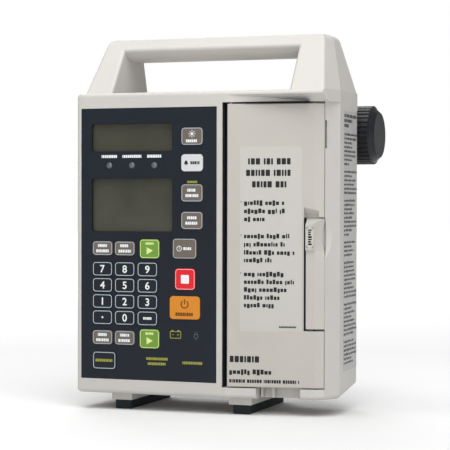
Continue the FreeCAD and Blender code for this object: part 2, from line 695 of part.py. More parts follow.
def make_door_platen():
    face = block(TUBE_X - PLATEN_HALF_W, TUBE_X + PLATEN_HALF_W, PLATEN_FRONT_Y, LINER_BACK_Y,
                 PLATEN_Z0, PLATEN_Z1)
    return fillet_where(face, 0.5, lambda a, b: a.y > LINER_BACK_Y - 0.01 and b.y > LINER_BACK_Y - 0.01)


def make_platen_springs():
    """Two short coil springs between the door's outer wall and the platen."""
    springs = []
    seat_y = door_front(TUBE_X + SPRING_R) + DOOR_WALL + SPRING_WIRE_R + 0.05
    length = PLATEN_FRONT_Y - SPRING_WIRE_R - 0.05 - seat_y
    for z in PLATEN_SPRING_Z:
        helix = Part.makeHelix(length / SPRING_TURNS, length, SPRING_R)
        circle = Part.makeCircle(SPRING_WIRE_R, V(SPRING_R, 0, 0), V(0, 1, 0))
        coil = Part.Wire(helix).makePipeShell([Part.Wire(circle)], True, True)
        coil.rotate(V(0, 0, 0), V(1, 0, 0), -90)
        coil.translate(V(TUBE_X, seat_y, z))
        springs.append(coil)
    return Part.makeCompound(springs)


# ---------------------------------------------------------------- latch

def latch_pin_rod(extra):
    return rod(LATCH_PIN_R + extra, V(70.0, LATCH_PIVOT_Y - 0.9, LATCH_PIVOT_Z), V(1, 0, 0), 17.0)


def make_latch_lever():
    plan = [(LATCH_X0, door_front(LATCH_X0)), (DOOR_BEND_X, DOOR_BEND_Y), (DOOR_X1, DOOR_EDGE_Y),
            (DOOR_X1 - 0.5, LATCH_BACK_Y), (LATCH_X0, LATCH_BACK_Y)]
    lever = plan_prism(plan, LATCH_Z0, LATCH_Z1)
    raised = [(LATCH_X0, door_front(LATCH_X0) - LATCH_BLOCK_PROUD),
              (LATCH_BLOCK_X1, DOOR_BEND_Y - LATCH_BLOCK_PROUD),
              (DOOR_X1 - 2.0, DOOR_EDGE_Y - 1.0), (LATCH_X0, DOOR_EDGE_Y)]
    lever = lever.fuse(plan_prism(raised, LATCH_BLOCK_Z0, LATCH_Z1))
    bevel = side_prism([(0, LATCH_Z1 - LATCH_BEVEL), (door_front(LATCH_X0) - LATCH_BLOCK_PROUD,
                                                     LATCH_Z1 - LATCH_BEVEL),
                        (LATCH_BACK_Y - 1.0, LATCH_Z1 + 1), (0, LATCH_Z1 + 1)], 70, FAR)
    lever = lever.cut(bevel)
    arm = side_prism([(LATCH_BACK_Y - 1, LATCH_Z0 + 0.4), (16.6, LATCH_Z0 + 0.4), (16.6, 68.0),
                      (21.0, 68.0), (21.0, LATCH_HOOK_Z), (23.5, LATCH_HOOK_Z),
                      (23.5, 73.0), (21.5, 75.0), (LATCH_BACK_Y - 1, 75.0)],
                     LATCH_ARM_X0, LATCH_ARM_X1)
    lever = lever.fuse(arm)
    return lever.cut(latch_pin_rod(RUNNING_GAP)).cut(thumb_dish()).removeSplitter()


def make_latch_strike():
    """Bar that the latch arm hooks over, on a foot screwed behind the bay floor."""
    foot = block(78.0, 93.4, 21.0, 22.2, 44.0, 60.0)
    post = block(82.0, 89.4, 21.0, 25.5, 56.0, STRIKE_TOP_Z)
    return foot.fuse(post)


# ---------------------------------------------------------------- pump mechanism

def make_pump_head_plate():
    plate = block(TUBE_X - HEAD_HALF_W, TUBE_X + HEAD_HALF_W, HEAD_FRONT_Y,
                  BAY_FLOOR_Y + BAY_FLOOR_T, HEAD_Z0, HEAD_Z1)
    half = TUBE_CHANNEL_W / 2
    plate = plate.cut(block(TUBE_X - half, TUBE_X + half, 0, TUBE_CHANNEL_BACK_Y, HEAD_Z0 - 1,
                            HEAD_Z1 + 1))
    slot_z0 = CAM_Z0 - 3.0
    slot_z1 = CAM_Z0 + CAM_COUNT * CAM_PITCH + 1.0
    return plate.cut(block(TUBE_X - FINGER_HALF_W - 0.3, TUBE_X + FINGER_HALF_W + 0.3, 0, 30,
                           slot_z0, slot_z1))


def make_tube_sensor():
    sensor = block(TUBE_X - SENSOR_HALF_W, TUBE_X + SENSOR_HALF_W, HEAD_FRONT_Y, 30, SENSOR_Z0,
                   SENSOR_Z1)
    half = TUBE_CHANNEL_W / 2
    return sensor.cut(block(TUBE_X - half, TUBE_X + half, 0, TUBE_CHANNEL_BACK_Y, SENSOR_Z0 - 1,
                            SENSOR_Z1 + 1))


def make_pump_chassis():
    back_of_plate = BAY_FLOOR_Y + BAY_FLOOR_T
    flange = block(TUBE_X - 18, TUBE_X + 18, back_of_plate, back_of_plate + 1.6, 60,
                   UPPER_ARM_Z + ARM_T)
    slot_z0 = CAM_Z0 - 3.0
    slot_z1 = CAM_Z0 + CAM_COUNT * CAM_PITCH + 1.0
    flange = flange.cut(block(TUBE_X - FINGER_HALF_W - 1, TUBE_X + FINGER_HALF_W + 1, 0, 30,
                              slot_z0, slot_z1))
    motor_x = TUBE_X + GEAR_MODULE * (GEAR_TEETH + PINION_TEETH) / 2
    arm_y1 = SHAFT_Y + 15
    lower = block(TUBE_X - 18, TUBE_X + 18, back_of_plate, arm_y1, LOWER_ARM_Z, LOWER_ARM_Z + ARM_T)
    upper = block(TUBE_X - 18, motor_x + MOTOR_HALF_W, back_of_plate + 1.5, arm_y1, UPPER_ARM_Z,
                  UPPER_ARM_Z + ARM_T)
    web = block(TUBE_X - 18, TUBE_X - 15.5, back_of_plate, arm_y1, LOWER_ARM_Z, UPPER_ARM_Z + ARM_T)
    chassis = flange.fuse(lower).fuse(upper).fuse(web)
    for z in (LOWER_ARM_Z, UPPER_ARM_Z):
        chassis = chassis.cut(rod(BEARING_R, V(TUBE_X, SHAFT_Y, z - 1), V(0, 0, 1), ARM_T + 2))
    chassis = chassis.cut(rod(6.0, V(motor_x, SHAFT_Y, UPPER_ARM_Z - 1), V(0, 0, 1), ARM_T + 2))
    return chassis.removeSplitter()


def make_shaft_bearings():
    bearings = []
    for z in (LOWER_ARM_Z, UPPER_ARM_Z):
        ring = rod(BEARING_R, V(TUBE_X, SHAFT_Y, z), V(0, 0, 1), ARM_T)
        bore = rod(SHAFT_R + RUNNING_GAP, V(TUBE_X, SHAFT_Y, z - 1), V(0, 0, 1), ARM_T + 2)
        bearings.append(ring.cut(bore))
    return Part.makeCompound(bearings)


def make_camshaft():
    shaft = rod(SHAFT_R, V(TUBE_X, SHAFT_Y, SHAFT_Z0), V(0, 0, 1), SHAFT_Z1 - SHAFT_Z0)
    for index in range(CAM_COUNT):
        angle = 2 * math.pi * index / CAM_COUNT
        centre = V(TUBE_X + CAM_THROW * math.cos(angle), SHAFT_Y + CAM_THROW * math.sin(angle),
                   CAM_Z0 + index * CAM_PITCH)
        shaft = shaft.fuse(rod(CAM_R, centre, V(0, 0, 1), CAM_T))
    return shaft


def make_pump_fingers():
    """One flat finger per cam; the cam turns in the window of the finger's yoke."""
    fingers = []
    for index in range(CAM_COUNT):
        z0 = CAM_Z0 + index * CAM_PITCH + CAM_T / 2 - FINGER_T / 2
        z1 = z0 + FINGER_T
        reach = YOKE_WINDOW + YOKE_WALL
        yoke = block(TUBE_X - YOKE_HALF_W, TUBE_X + YOKE_HALF_W, SHAFT_Y - reach, SHAFT_Y + reach,
                     z0, z1)
        yoke = yoke.cut(block(TUBE_X - YOKE_HALF_W + YOKE_WALL, TUBE_X + YOKE_HALF_W - YOKE_WALL,
                              SHAFT_Y - YOKE_WINDOW, SHAFT_Y + YOKE_WINDOW, z0 - 1, z1 + 1))
        tip = block(TUBE_X - FINGER_HALF_W, TUBE_X + FINGER_HALF_W, FINGER_TIP_Y,
                    SHAFT_Y - YOKE_WINDOW - 0.5, z0, z1)
        tip = fillet_where(tip, 1.0, lambda a, b: a.y < FINGER_TIP_Y + 0.01
                           and b.y < FINGER_TIP_Y + 0.01 and abs(a.z - b.z) < 0.01)
        fingers.append(yoke.fuse(tip))
    return Part.makeCompound(fingers)


def involute_point(base_r, roll):
    """Point of the involute of a circle, as (radius, angle)."""
    radius = base_r * math.sqrt(1 + roll * roll)
    return radius, roll - math.atan(roll)


def gear_outline(teeth, phase):
    """Closed outline of a spur gear with involute flanks and a little backlash."""
    pitch_r = GEAR_MODULE * teeth / 2
    base_r = pitch_r * math.cos(math.radians(20))
    tip_r = pitch_r + 0.9 * GEAR_MODULE
    root_r = pitch_r - 1.25 * GEAR_MODULE
    pitch_roll = math.sqrt((pitch_r / base_r) ** 2 - 1)
    pitch_angle = pitch_roll - math.atan(pitch_roll)
    half_tooth = math.pi / (2 * teeth) - 0.05 / pitch_r
    start_r = max(base_r, root_r)
    flank = []
    for step in range(5):
        radius = start_r + (tip_r - start_r) * step / 4
        roll = math.sqrt(max((radius / base_r) ** 2 - 1, 0))
        flank.append((radius, half_tooth + pitch_angle - involute_point(base_r, roll)[1]))
    points = []
    for tooth in range(teeth):
        middle = phase + 2 * math.pi * tooth / teeth
        edge = flank[0][1]
        polar = [(root_r, middle - edge)]
        polar += [(radius, middle - angle) for radius, angle in flank]
        polar += [(radius, middle + angle) for radius, angle in reversed(flank)]
        polar += [(root_r, middle + edge)]
        points += [(radius * math.cos(angle), radius * math.sin(angle)) for radius, angle in polar]
    return points


def make_gear(teeth, phase, x, bore_r):
    outline = [(x + px, SHAFT_Y + py) for px, py in gear_outline(teeth, phase)]
    gear = plan_prism(outline, GEAR_Z0, GEAR_Z0 + GEAR_T)
    return gear.cut(rod(bore_r, V(x, SHAFT_Y, GEAR_Z0 - 1), V(0, 0, 1), GEAR_T + 2))


def motor_axis_x():
    return TUBE_X + GEAR_MODULE * (GEAR_TEETH + PINION_TEETH) / 2


def make_cam_gear():
    return make_gear(GEAR_TEETH, 0.0, TUBE_X, SHAFT_R)


def make_motor_pinion():
    x = motor_axis_x()
    pinion = make_gear(PINION_TEETH, math.pi / PINION_TEETH, x, MOTOR_SHAFT_R)
    shaft = rod(MOTOR_SHAFT_R, V(x, SHAFT_Y, UPPER_ARM_Z - 8), V(0, 0, 1), GEAR_Z0 + GEAR_T
                - UPPER_ARM_Z + 8)
    return pinion.fuse(shaft).removeSplitter()


def make_drive_motor():
    x = motor_axis_x()
    body = block(x - MOTOR_HALF_W, x + MOTOR_HALF_W, SHAFT_Y - MOTOR_HALF_W, SHAFT_Y + MOTOR_HALF_W,
                 MOTOR_Z0, UPPER_ARM_Z)
    body = fillet_where(body, 3.0, runs_along_z)
    boss = rod(5.9, V(x, SHAFT_Y, UPPER_ARM_Z - 1), V(0, 0, 1), 3)
    bore = rod(MOTOR_SHAFT_R + RUNNING_GAP, V(x, SHAFT_Y, UPPER_ARM_Z - 8.2), V(0, 0, 1), 12)
    return body.fuse(boss).cut(bore)


# ---------------------------------------------------------------- pole clamp

def make_clamp_body():
    plate = block(SADDLE_X0, CLAMP_ARM_X1, CASE_REAR_Y, CLAMP_PLATE_Y1, CLAMP_Z0, CLAMP_Z1)
    jaw = block(SADDLE_X0, POLE_X, CLAMP_PLATE_Y1 - 1, CLAMP_JAW_Y1, CLAMP_Z0, CLAMP_Z1)
    arm = block(CLAMP_ARM_X0, CLAMP_ARM_X1, CLAMP_PLATE_Y1 - 1, CLAMP_JAW_Y1, CLAMP_Z0 + 4,
                CLAMP_Z1 - 4)
    body = plate.fuse(jaw).fuse(arm)
    body = fillet_where(body, 4.0, lambda a, b: runs_along_z(a, b) and a.y > CLAMP_JAW_Y1 - 0.01
                        and (a.x < SADDLE_X0 + 1 or a.x > POLE_X + 1))
    pole = rod(POLE_R, V(POLE_X, CLAMP_AXIS_Y, CLAMP_Z0 - 1), V(0, 0, 1), CLAMP_Z1 - CLAMP_Z0 + 2)
    screw_hole = rod(SCREW_R + RUNNING_GAP, V(CLAMP_ARM_X0 - 1, CLAMP_AXIS_Y, CLAMP_AXIS_Z),
                     V(1, 0, 0), CLAMP_ARM_X1 - CLAMP_ARM_X0 + 2)
    return body.cut(pole).cut(screw_hole).removeSplitter()


def make_clamp_screw():
    start = PAD_X0 + PAD_T - 3.0
    return rod(SCREW_R, V(start, CLAMP_AXIS_Y, CLAMP_AXIS_Z), V(1, 0, 0), KNOB_X0 + 14.0 - start)


def make_clamp_pad():
    pad = rod(PAD_R, V(PAD_X0, CLAMP_AXIS_Y, CLAMP_AXIS_Z), V(1, 0, 0), PAD_T)
    socket = rod(SCREW_R + RUNNING_GAP, V(PAD_X0 + PAD_T - 3.05, CLAMP_AXIS_Y, CLAMP_AXIS_Z),
                 V(1, 0, 0), 4)
    return pad.cut(socket)


def make_clamp_knob():
    """Ribbed grip with a smooth chamfered end."""
    rib_x1 = KNOB_X1 - 4.5
    outline = []
    for rib in range(KNOB_RIBS):
        for share, radius in ((0.0, KNOB_R), (0.45, KNOB_R), (0.6, KNOB_R - KNOB_RIB_DEPTH),
                              (0.85, KNOB_R - KNOB_RIB_DEPTH)):
            angle = 2 * math.pi * (rib + share) / KNOB_RIBS
            outline.append(V(KNOB_X0, CLAMP_AXIS_Y + radius * math.cos(angle),
                             CLAMP_AXIS_Z + radius * math.sin(angle)))
    grip = prism(outline, V(rib_x1 - KNOB_X0, 0, 0))
    cap = Part.makeCone(KNOB_R - 1.2, KNOB_R - 5.2, KNOB_X1 - rib_x1,
                        V(rib_x1, CLAMP_AXIS_Y, CLAMP_AXIS_Z), V(1, 0, 0))
    knob = grip.fuse(cap)
    return knob.cut(rod(SCREW_R, V(KNOB_X0 - 1, CLAMP_AXIS_Y, CLAMP_AXIS_Z), V(1, 0, 0), 15.0))


def main():
    save("front_case", make_front_case())
    save("rear_case", make_rear_case())
    save("case_screws", make_case_screws())
    save("rubber_feet", make_rubber_feet())
    save("keypad_panel", make_keypad_panel())
    for name, x, z, width, height in all_keys():
        save("key_" + name, make_key(x, z, width, height))
    save("status_lamps", make_status_lamps())
    save("keypad_board", make_keypad_board())
    save("lcd_upper", make_lcd(*LCD_UPPER))
    save("lcd_lower", make_lcd(*LCD_LOWER))
    save("main_board", make_main_board())
    save("power_supply", make_power_supply())
    save("battery_pack", make_battery_pack())
    save("mains_inlet", make_mains_inlet())
    save("hinge_pins", make_hinge_pins())
    save("door_panel", make_door_panel())
    save("door_liner", make_door_liner())
    save("door_platen", make_door_platen())
    save("platen_springs", make_platen_springs())
    save("latch_lever", make_latch_lever())
    save("latch_pin", latch_pin_rod(0.0))
    save("latch_strike", make_latch_strike())
    save("pump_head_plate", make_pump_head_plate())
    save("tube_sensor", make_tube_sensor())
    save("pump_chassis", make_pump_chassis())
    save("shaft_bearings", make_shaft_bearings())
    save("camshaft", make_camshaft())
    save("pump_fingers", make_pump_fingers())
    save("cam_gear", make_cam_gear())
    save("motor_pinion", make_motor_pinion())
    save("drive_motor", make_drive_motor())
    save("clamp_body", make_clamp_body())
    save("clamp_screw", make_clamp_screw())
    save("clamp_pad", make_clamp_pad())
    save("clamp_knob", make_clamp_knob())


main()
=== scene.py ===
import json
import math
import random

import bmesh
import bpy
from mathutils import Matrix, Vector


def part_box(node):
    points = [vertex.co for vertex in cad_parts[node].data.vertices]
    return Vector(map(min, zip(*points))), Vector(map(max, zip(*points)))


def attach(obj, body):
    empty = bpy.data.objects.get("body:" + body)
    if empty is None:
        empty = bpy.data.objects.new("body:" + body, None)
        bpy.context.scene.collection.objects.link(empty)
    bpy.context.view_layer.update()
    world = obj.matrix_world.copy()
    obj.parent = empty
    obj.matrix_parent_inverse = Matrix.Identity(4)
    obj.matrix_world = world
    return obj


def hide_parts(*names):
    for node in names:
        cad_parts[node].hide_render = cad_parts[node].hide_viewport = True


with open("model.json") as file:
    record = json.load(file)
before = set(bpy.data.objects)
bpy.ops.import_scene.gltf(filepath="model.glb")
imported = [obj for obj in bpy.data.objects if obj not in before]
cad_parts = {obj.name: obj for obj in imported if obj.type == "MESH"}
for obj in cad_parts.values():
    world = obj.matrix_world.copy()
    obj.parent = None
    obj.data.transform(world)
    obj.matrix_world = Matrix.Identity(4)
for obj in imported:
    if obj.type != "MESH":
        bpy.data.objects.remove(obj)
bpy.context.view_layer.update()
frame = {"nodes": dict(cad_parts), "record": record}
NODES = frame["nodes"]

MM = 0.001
# Middle of the case front, seen from the row's origin, in millimetres
ORIGIN = Vector((5.0, 62.0, 0.0))


def at(x, y, z):
    """Point in metres from X off the case middle, Y behind the keypad front, Z over the ground."""
    return (Vector((x, y, z)) - ORIGIN) * MM


def linear(rgb):
    """Linear colour of an 8-bit sRGB one."""
    out = []
    for value in rgb:
        value /= 255.0
        out.append(value / 12.92 if value <= 0.04045 else ((value + 0.055) / 1.055) ** 2.4)
    return (out[0], out[1], out[2], 1.0)


# ---------------------------------------------------------------- materials

def new_material(name):
    material = bpy.data.materials.new(name)
    material.use_nodes = True
    nodes = material.node_tree.nodes
    shader = nodes["Principled BSDF"]
    return material, nodes, material.node_tree.links, shader


def place(nodes, links, scale=(1.0, 1.0, 1.0)):
    """Object coordinates in metres, stretched by scale."""
    coords = nodes.new("ShaderNodeTexCoord")
    mapping = nodes.new("ShaderNodeMapping")
    mapping.inputs["Scale"].default_value = scale
    links.new(coords.outputs["Object"], mapping.inputs["Vector"])
    return mapping.outputs["Vector"]


def noise(nodes, links, vector, scale, detail=3.0, rough=0.55):
    node = nodes.new("ShaderNodeTexNoise")
    node.inputs["Scale"].default_value = scale
    node.inputs["Detail"].default_value = detail
    node.inputs["Roughness"].default_value = rough
    links.new(vector, node.inputs["Vector"])
    return node.outputs["Fac"]


def spread(nodes, links, value, low, high, start=0.3, end=0.7):
    """Maps a texture value from start..end to low..high."""
    node = nodes.new("ShaderNodeMapRange")
    node.inputs["From Min"].default_value = start
    node.inputs["From Max"].default_value = end
    node.inputs["To Min"].default_value = low
    node.inputs["To Max"].default_value = high
    links.new(value, node.inputs["Value"])
    return node.outputs["Result"]


def blend_colour(nodes, links, factor, low, high):
    node = nodes.new("ShaderNodeMix")
    node.data_type = "RGBA"
    node.inputs["A"].default_value = low
    node.inputs["B"].default_value = high
    links.new(factor, node.inputs["Factor"])
    return node.outputs["Result"]


def add_bump(nodes, links, shader, height, distance, strength=1.0, under=None):
    node = nodes.new("ShaderNodeBump")
    node.inputs["Distance"].default_value = distance
    node.inputs["Strength"].default_value = strength
    links.new(height, node.inputs["Height"])
    if under is not None:
        links.new(under, node.inputs["Normal"])
    links.new(node.outputs["Normal"], shader.inputs["Normal"])
    return node.outputs["Normal"]


def plastic(name, rgb, rough=0.45, specular=0.4, grain=0.00004, grain_scale=2600.0, wander=0.035):
    """Moulded plastic: a fine sparked grain, faint flow marks, a slight wander of tone."""
    material, nodes, links, shader = new_material(name)
    vector = place(nodes, links)
    base = linear(rgb)
    dark = tuple(c * (1.0 - wander) for c in base[:3]) + (1.0,)
    light = tuple(min(1.0, c * (1.0 + wander)) for c in base[:3]) + (1.0,)
    broad = noise(nodes, links, vector, 14.0, 4.0)
    colour = blend_colour(nodes, links, spread(nodes, links, broad, 0.0, 1.0), dark, light)
    links.new(colour, shader.inputs["Base Color"])
    smudge = noise(nodes, links, vector, 55.0, 5.0, 0.6)
    links.new(spread(nodes, links, smudge, rough - 0.05, rough + 0.06), shader.inputs["Roughness"])
    ripple = add_bump(nodes, links, shader, noise(nodes, links, vector, 35.0, 2.0), 0.0003, 0.12)
    add_bump(nodes, links, shader, noise(nodes, links, vector, grain_scale, 2.0), grain, 0.6, ripple)
    shader.inputs["Specular IOR Level"].default_value = specular
    return material


def metal(name, rgb, rough=0.3, stretch=(1.0, 1.0, 40.0)):
    """Turned or drawn metal with fine lines along one way."""
    material, nodes, links, shader = new_material(name)
    lines = noise(nodes, links, place(nodes, links, stretch), 900.0, 3.0)
    patches = noise(nodes, links, place(nodes, links), 60.0, 4.0)
    base = linear(rgb)
    dark = tuple(c * 0.86 for c in base[:3]) + (1.0,)
    links.new(blend_colour(nodes, links, spread(nodes, links, patches, 0.0, 1.0), dark, base),
              shader.inputs["Base Color"])
    links.new(spread(nodes, links, lines, rough - 0.08, rough + 0.12), shader.inputs["Roughness"])
    add_bump(nodes, links, shader, lines, 0.00003, 0.5)
    shader.inputs["Metallic"].default_value = 1.0
    return material


def cast_paint(name, rgb):
    """Enamel over a sand-cast arm: orange peel and small pits."""
    material, nodes, links, shader = new_material(name)
    vector = place(nodes, links)
    peel = noise(nodes, links, vector, 420.0, 2.0)
    pits = nodes.new("ShaderNodeTexVoronoi")
    pits.inputs["Scale"].default_value = 900.0
    links.new(vector, pits.inputs["Vector"])
    base = linear(rgb)
    light = tuple(min(1.0, c * 1.25) for c in base[:3]) + (1.0,)
    links.new(blend_colour(nodes, links, spread(nodes, links, peel, 0.0, 1.0), base, light),
              shader.inputs["Base Color"])
    links.new(spread(nodes, links, peel, 0.34, 0.5), shader.inputs["Roughness"])
    first = add_bump(nodes, links, shader, peel, 0.0002, 0.5)
    add_bump(nodes, links, shader, pits.outputs["Distance"], 0.00008, 0.4, first)
    return material


def rubber(name, rgb):
    """Matt rubber with moulded specks and a dusty bloom."""
    material, nodes, links, shader = new_material(name)
    vector = place(nodes, links)
    bloom = noise(nodes, links, vector, 90.0, 6.0, 0.7)
    base = linear(rgb)
    dusty = tuple(c * 1.5 + 0.006 for c in base[:3]) + (1.0,)
    links.new(blend_colour(nodes, links, spread(nodes, links, bloom, 0.0, 1.0, 0.35, 0.8), base, dusty),
              shader.inputs["Base Color"])
    links.new(spread(nodes, links, bloom, 0.62, 0.82), shader.inputs["Roughness"])
    add_bump(nodes, links, shader, noise(nodes, links, vector, 1500.0, 3.0), 0.00008, 0.7)
    shader.inputs["Specular IOR Level"].default_value = 0.25
    return material


def film(name, rgb, warm):
    """Printed polyester overlay: a velvet micro texture under a faint sheen."""
    material, nodes, links, shader = new_material(name)
    vector = place(nodes, links)
    broad = noise(nodes, links, vector, 9.0, 3.0)
    links.new(blend_colour(nodes, links, spread(nodes, links, broad, 0.0, 1.0), linear(rgb), linear(warm)),
              shader.inputs["Base Color"])
    links.new(spread(nodes, links, noise(nodes, links, vector, 160.0, 5.0), 0.36, 0.5),
              shader.inputs["Roughness"])
    weave = nodes.new("ShaderNodeTexVoronoi")
    weave.inputs["Scale"].default_value = 2400.0
    links.new(vector, weave.inputs["Vector"])
    add_bump(nodes, links, shader, weave.outputs["Distance"], 0.00002, 0.5)
    shader.inputs["Specular IOR Level"].default_value = 0.3
    return material


def display(name, rgb, warm):
    """Reflective liquid-crystal glass: a mottled rear film, faint cell lines, a glossy front."""
    material, nodes, links, shader = new_material(name)
    vector = place(nodes, links)
    mottled = noise(nodes, links, vector, 38.0, 5.0)
    cells = nodes.new("ShaderNodeTexWave")
    cells.wave_type = "BANDS"
    cells.bands_direction = "X"
    cells.inputs["Scale"].default_value = 260.0
    cells.inputs["Distortion"].default_value = 0.2
    links.new(vector, cells.inputs["Vector"])
    tone = blend_colour(nodes, links, spread(nodes, links, mottled, 0.0, 1.0), linear(rgb), linear(warm))
    lined = nodes.new("ShaderNodeMix")
    lined.data_type = "RGBA"
    lined.blend_type = "MULTIPLY"
    lined.inputs["B"].default_value = (0.93, 0.94, 0.93, 1.0)
    links.new(cells.outputs["Fac"], lined.inputs["Factor"])
    links.new(tone, lined.inputs["A"])
    links.new(lined.outputs["Result"], shader.inputs["Base Color"])
    links.new(spread(nodes, links, mottled, 0.12, 0.2), shader.inputs["Roughness"])
    shader.inputs["Specular IOR Level"].default_value = 0.45
    return material


def board(name):
    """Green circuit board with copper tracks under the solder mask."""
    material, nodes, links, shader = new_material(name)
    vector = place(nodes, links)
    tracks = nodes.new("ShaderNodeTexBrick")
    tracks.inputs["Scale"].default_value = 170.0
    tracks.inputs["Mortar Size"].default_value = 0.03
    tracks.inputs["Color1"].default_value = linear((22, 74, 48))
    tracks.inputs["Color2"].default_value = linear((28, 86, 54))
    tracks.inputs["Mortar"].default_value = linear((86, 130, 70))
    links.new(vector, tracks.inputs["Vector"])
    links.new(tracks.outputs["Color"], shader.inputs["Base Color"])
    links.new(spread(nodes, links, noise(nodes, links, vector, 300.0), 0.3, 0.45),
              shader.inputs["Roughness"])
    add_bump(nodes, links, shader, tracks.outputs["Fac"], 0.00004, 0.6)
    return material


def printed(name, rgb, fleck=0.08, rough=0.5):
    """Screen-printed ink: slightly uneven cover, a dry surface."""
    material, nodes, links, shader = new_material(name)
    vector = place(nodes, links)
    grain = noise(nodes, links, vector, 1800.0, 4.0, 0.7)
    base = linear(rgb)
    thin = tuple(c * (1.0 - fleck) for c in base[:3]) + (1.0,)
    links.new(blend_colour(nodes, links, spread(nodes, links, grain, 0.0, 1.0), thin, base),
              shader.inputs["Base Color"])
    links.new(spread(nodes, links, grain, rough - 0.08, rough + 0.08), shader.inputs["Roughness"])
    add_bump(nodes, links, shader, grain, 0.00001, 0.5)
    shader.inputs["Specular IOR Level"].default_value = 0.25
    return material


def lens(name, rgb):
    """Tinted lamp window with a frosted inside."""
    material, nodes, links, shader = new_material(name)
    vector = place(nodes, links)
    frost = noise(nodes, links, vector, 2200.0, 3.0)
    links.new(blend_colour(nodes, links, frost, linear(rgb), linear(tuple(min(255, c + 26) for c in rgb))),
              shader.inputs["Base Color"])
    links.new(spread(nodes, links, frost, 0.14, 0.3), shader.inputs["Roughness"])
    add_bump(nodes, links, shader, frost, 0.00002, 0.4)
    shader.inputs["Coat Weight"].default_value = 0.5
    shader.inputs["Coat Roughness"].default_value = 0.08
    return material


FINISH = {
    "case_plastic": plastic("case_moulded", (188, 185, 180), 0.42, 0.35),
    "door_plastic": plastic("door_moulded", (178, 174, 167), 0.42, 0.35),
    "latch_plastic": plastic("latch_moulded", (179, 175, 168), 0.38, 0.4),
    "liner_plastic": plastic("liner_moulded", (176, 176, 172), 0.5, 0.35),
    "panel_film": film("panel_overlay", (12, 20, 30), (18, 26, 37)),
    "key_dark": plastic("key_navy", (17, 24, 33), 0.42, 0.3, 0.00003),
    "key_grey": plastic("key_taupe", (102, 93, 85), 0.45, 0.3, 0.00003),
    "key_white": plastic("key_pale", (200, 201, 202), 0.45, 0.3, 0.00003),
    "key_red": plastic("key_signal_red", (210, 30, 40), 0.42, 0.3, 0.00003),
    "key_orange": plastic("key_signal_orange", (204, 128, 36), 0.42, 0.3, 0.00003),
    "key_green": plastic("key_leaf_green", (106, 142, 54), 0.42, 0.3, 0.00003),
    "lcd_glass": display("display_glass", (58, 59, 50), (68, 67, 57)),
    "lamp_lens": lens("lamp_window", (62, 72, 84)),
    "circuit_board": board("board_green"),
    "foot_rubber": rubber("foot_black", (20, 29, 34)),
    "knob_plastic": plastic("knob_charcoal", (21, 23, 28), 0.4, 0.32, 0.00005),
    "black_plastic": plastic("moulded_black", (24, 24, 26), 0.5, 0.35),
    "clamp_cast": cast_paint("clamp_enamel", (58, 60, 64)),
    "chassis_metal": metal("chassis_plate", (178, 180, 182), 0.4),
    "motor_black": metal("motor_can", (46, 46, 50), 0.42, (1.0, 1.0, 0.2)),
    "finger_plastic": plastic("finger_acetal", (226, 224, 214), 0.32, 0.5, 0.00002),
    "steel": metal("bright_steel", (186, 188, 190), 0.24),
    "brass": metal("gear_brass", (198, 164, 92), 0.3),
}

for part in frame["record"]["subparts"]:
    cad = NODES[part["node"]]
    cad.data.materials.clear()
    cad.data.materials.append(FINISH[part["material_slot"]])

INK_WHITE = printed("ink_white", (226, 230, 232))
INK_OUTLINE = printed("ink_outline", (168, 180, 190))
INK_BLACK = printed("ink_black", (30, 30, 32))
INK_GREY = printed("ink_grey", (50, 50, 52))
INK_OLIVE = printed("ink_olive", (150, 150, 62))
INK_DIM = printed("ink_dim", (84, 92, 100))
INK_LIME = printed("ink_pale_green", (206, 226, 150))
INK_BROWN = printed("ink_brown", (92, 58, 18))
LABEL = printed("label_foil", (184, 182, 176), 0.03, 0.36)
SIDE_LABEL = printed("side_label_foil", (176, 175, 172), 0.03, 0.4)
BEZEL = plastic("bezel_black", (18, 20, 22), 0.4, 0.3)


# ---------------------------------------------------------------- printed shapes

class Sheet:
    """A flat place to print on: a corner, its across and up directions, and its outward one."""

    def __init__(self, origin, across, up):
        self.origin = origin
        self.across = across.normalized()
        self.up = up.normalized()
        self.out = self.across.cross(self.up).normalized()

    def point(self, x, z, proud):
        return self.origin + (self.across * x + self.up * z + self.out * proud) * MM


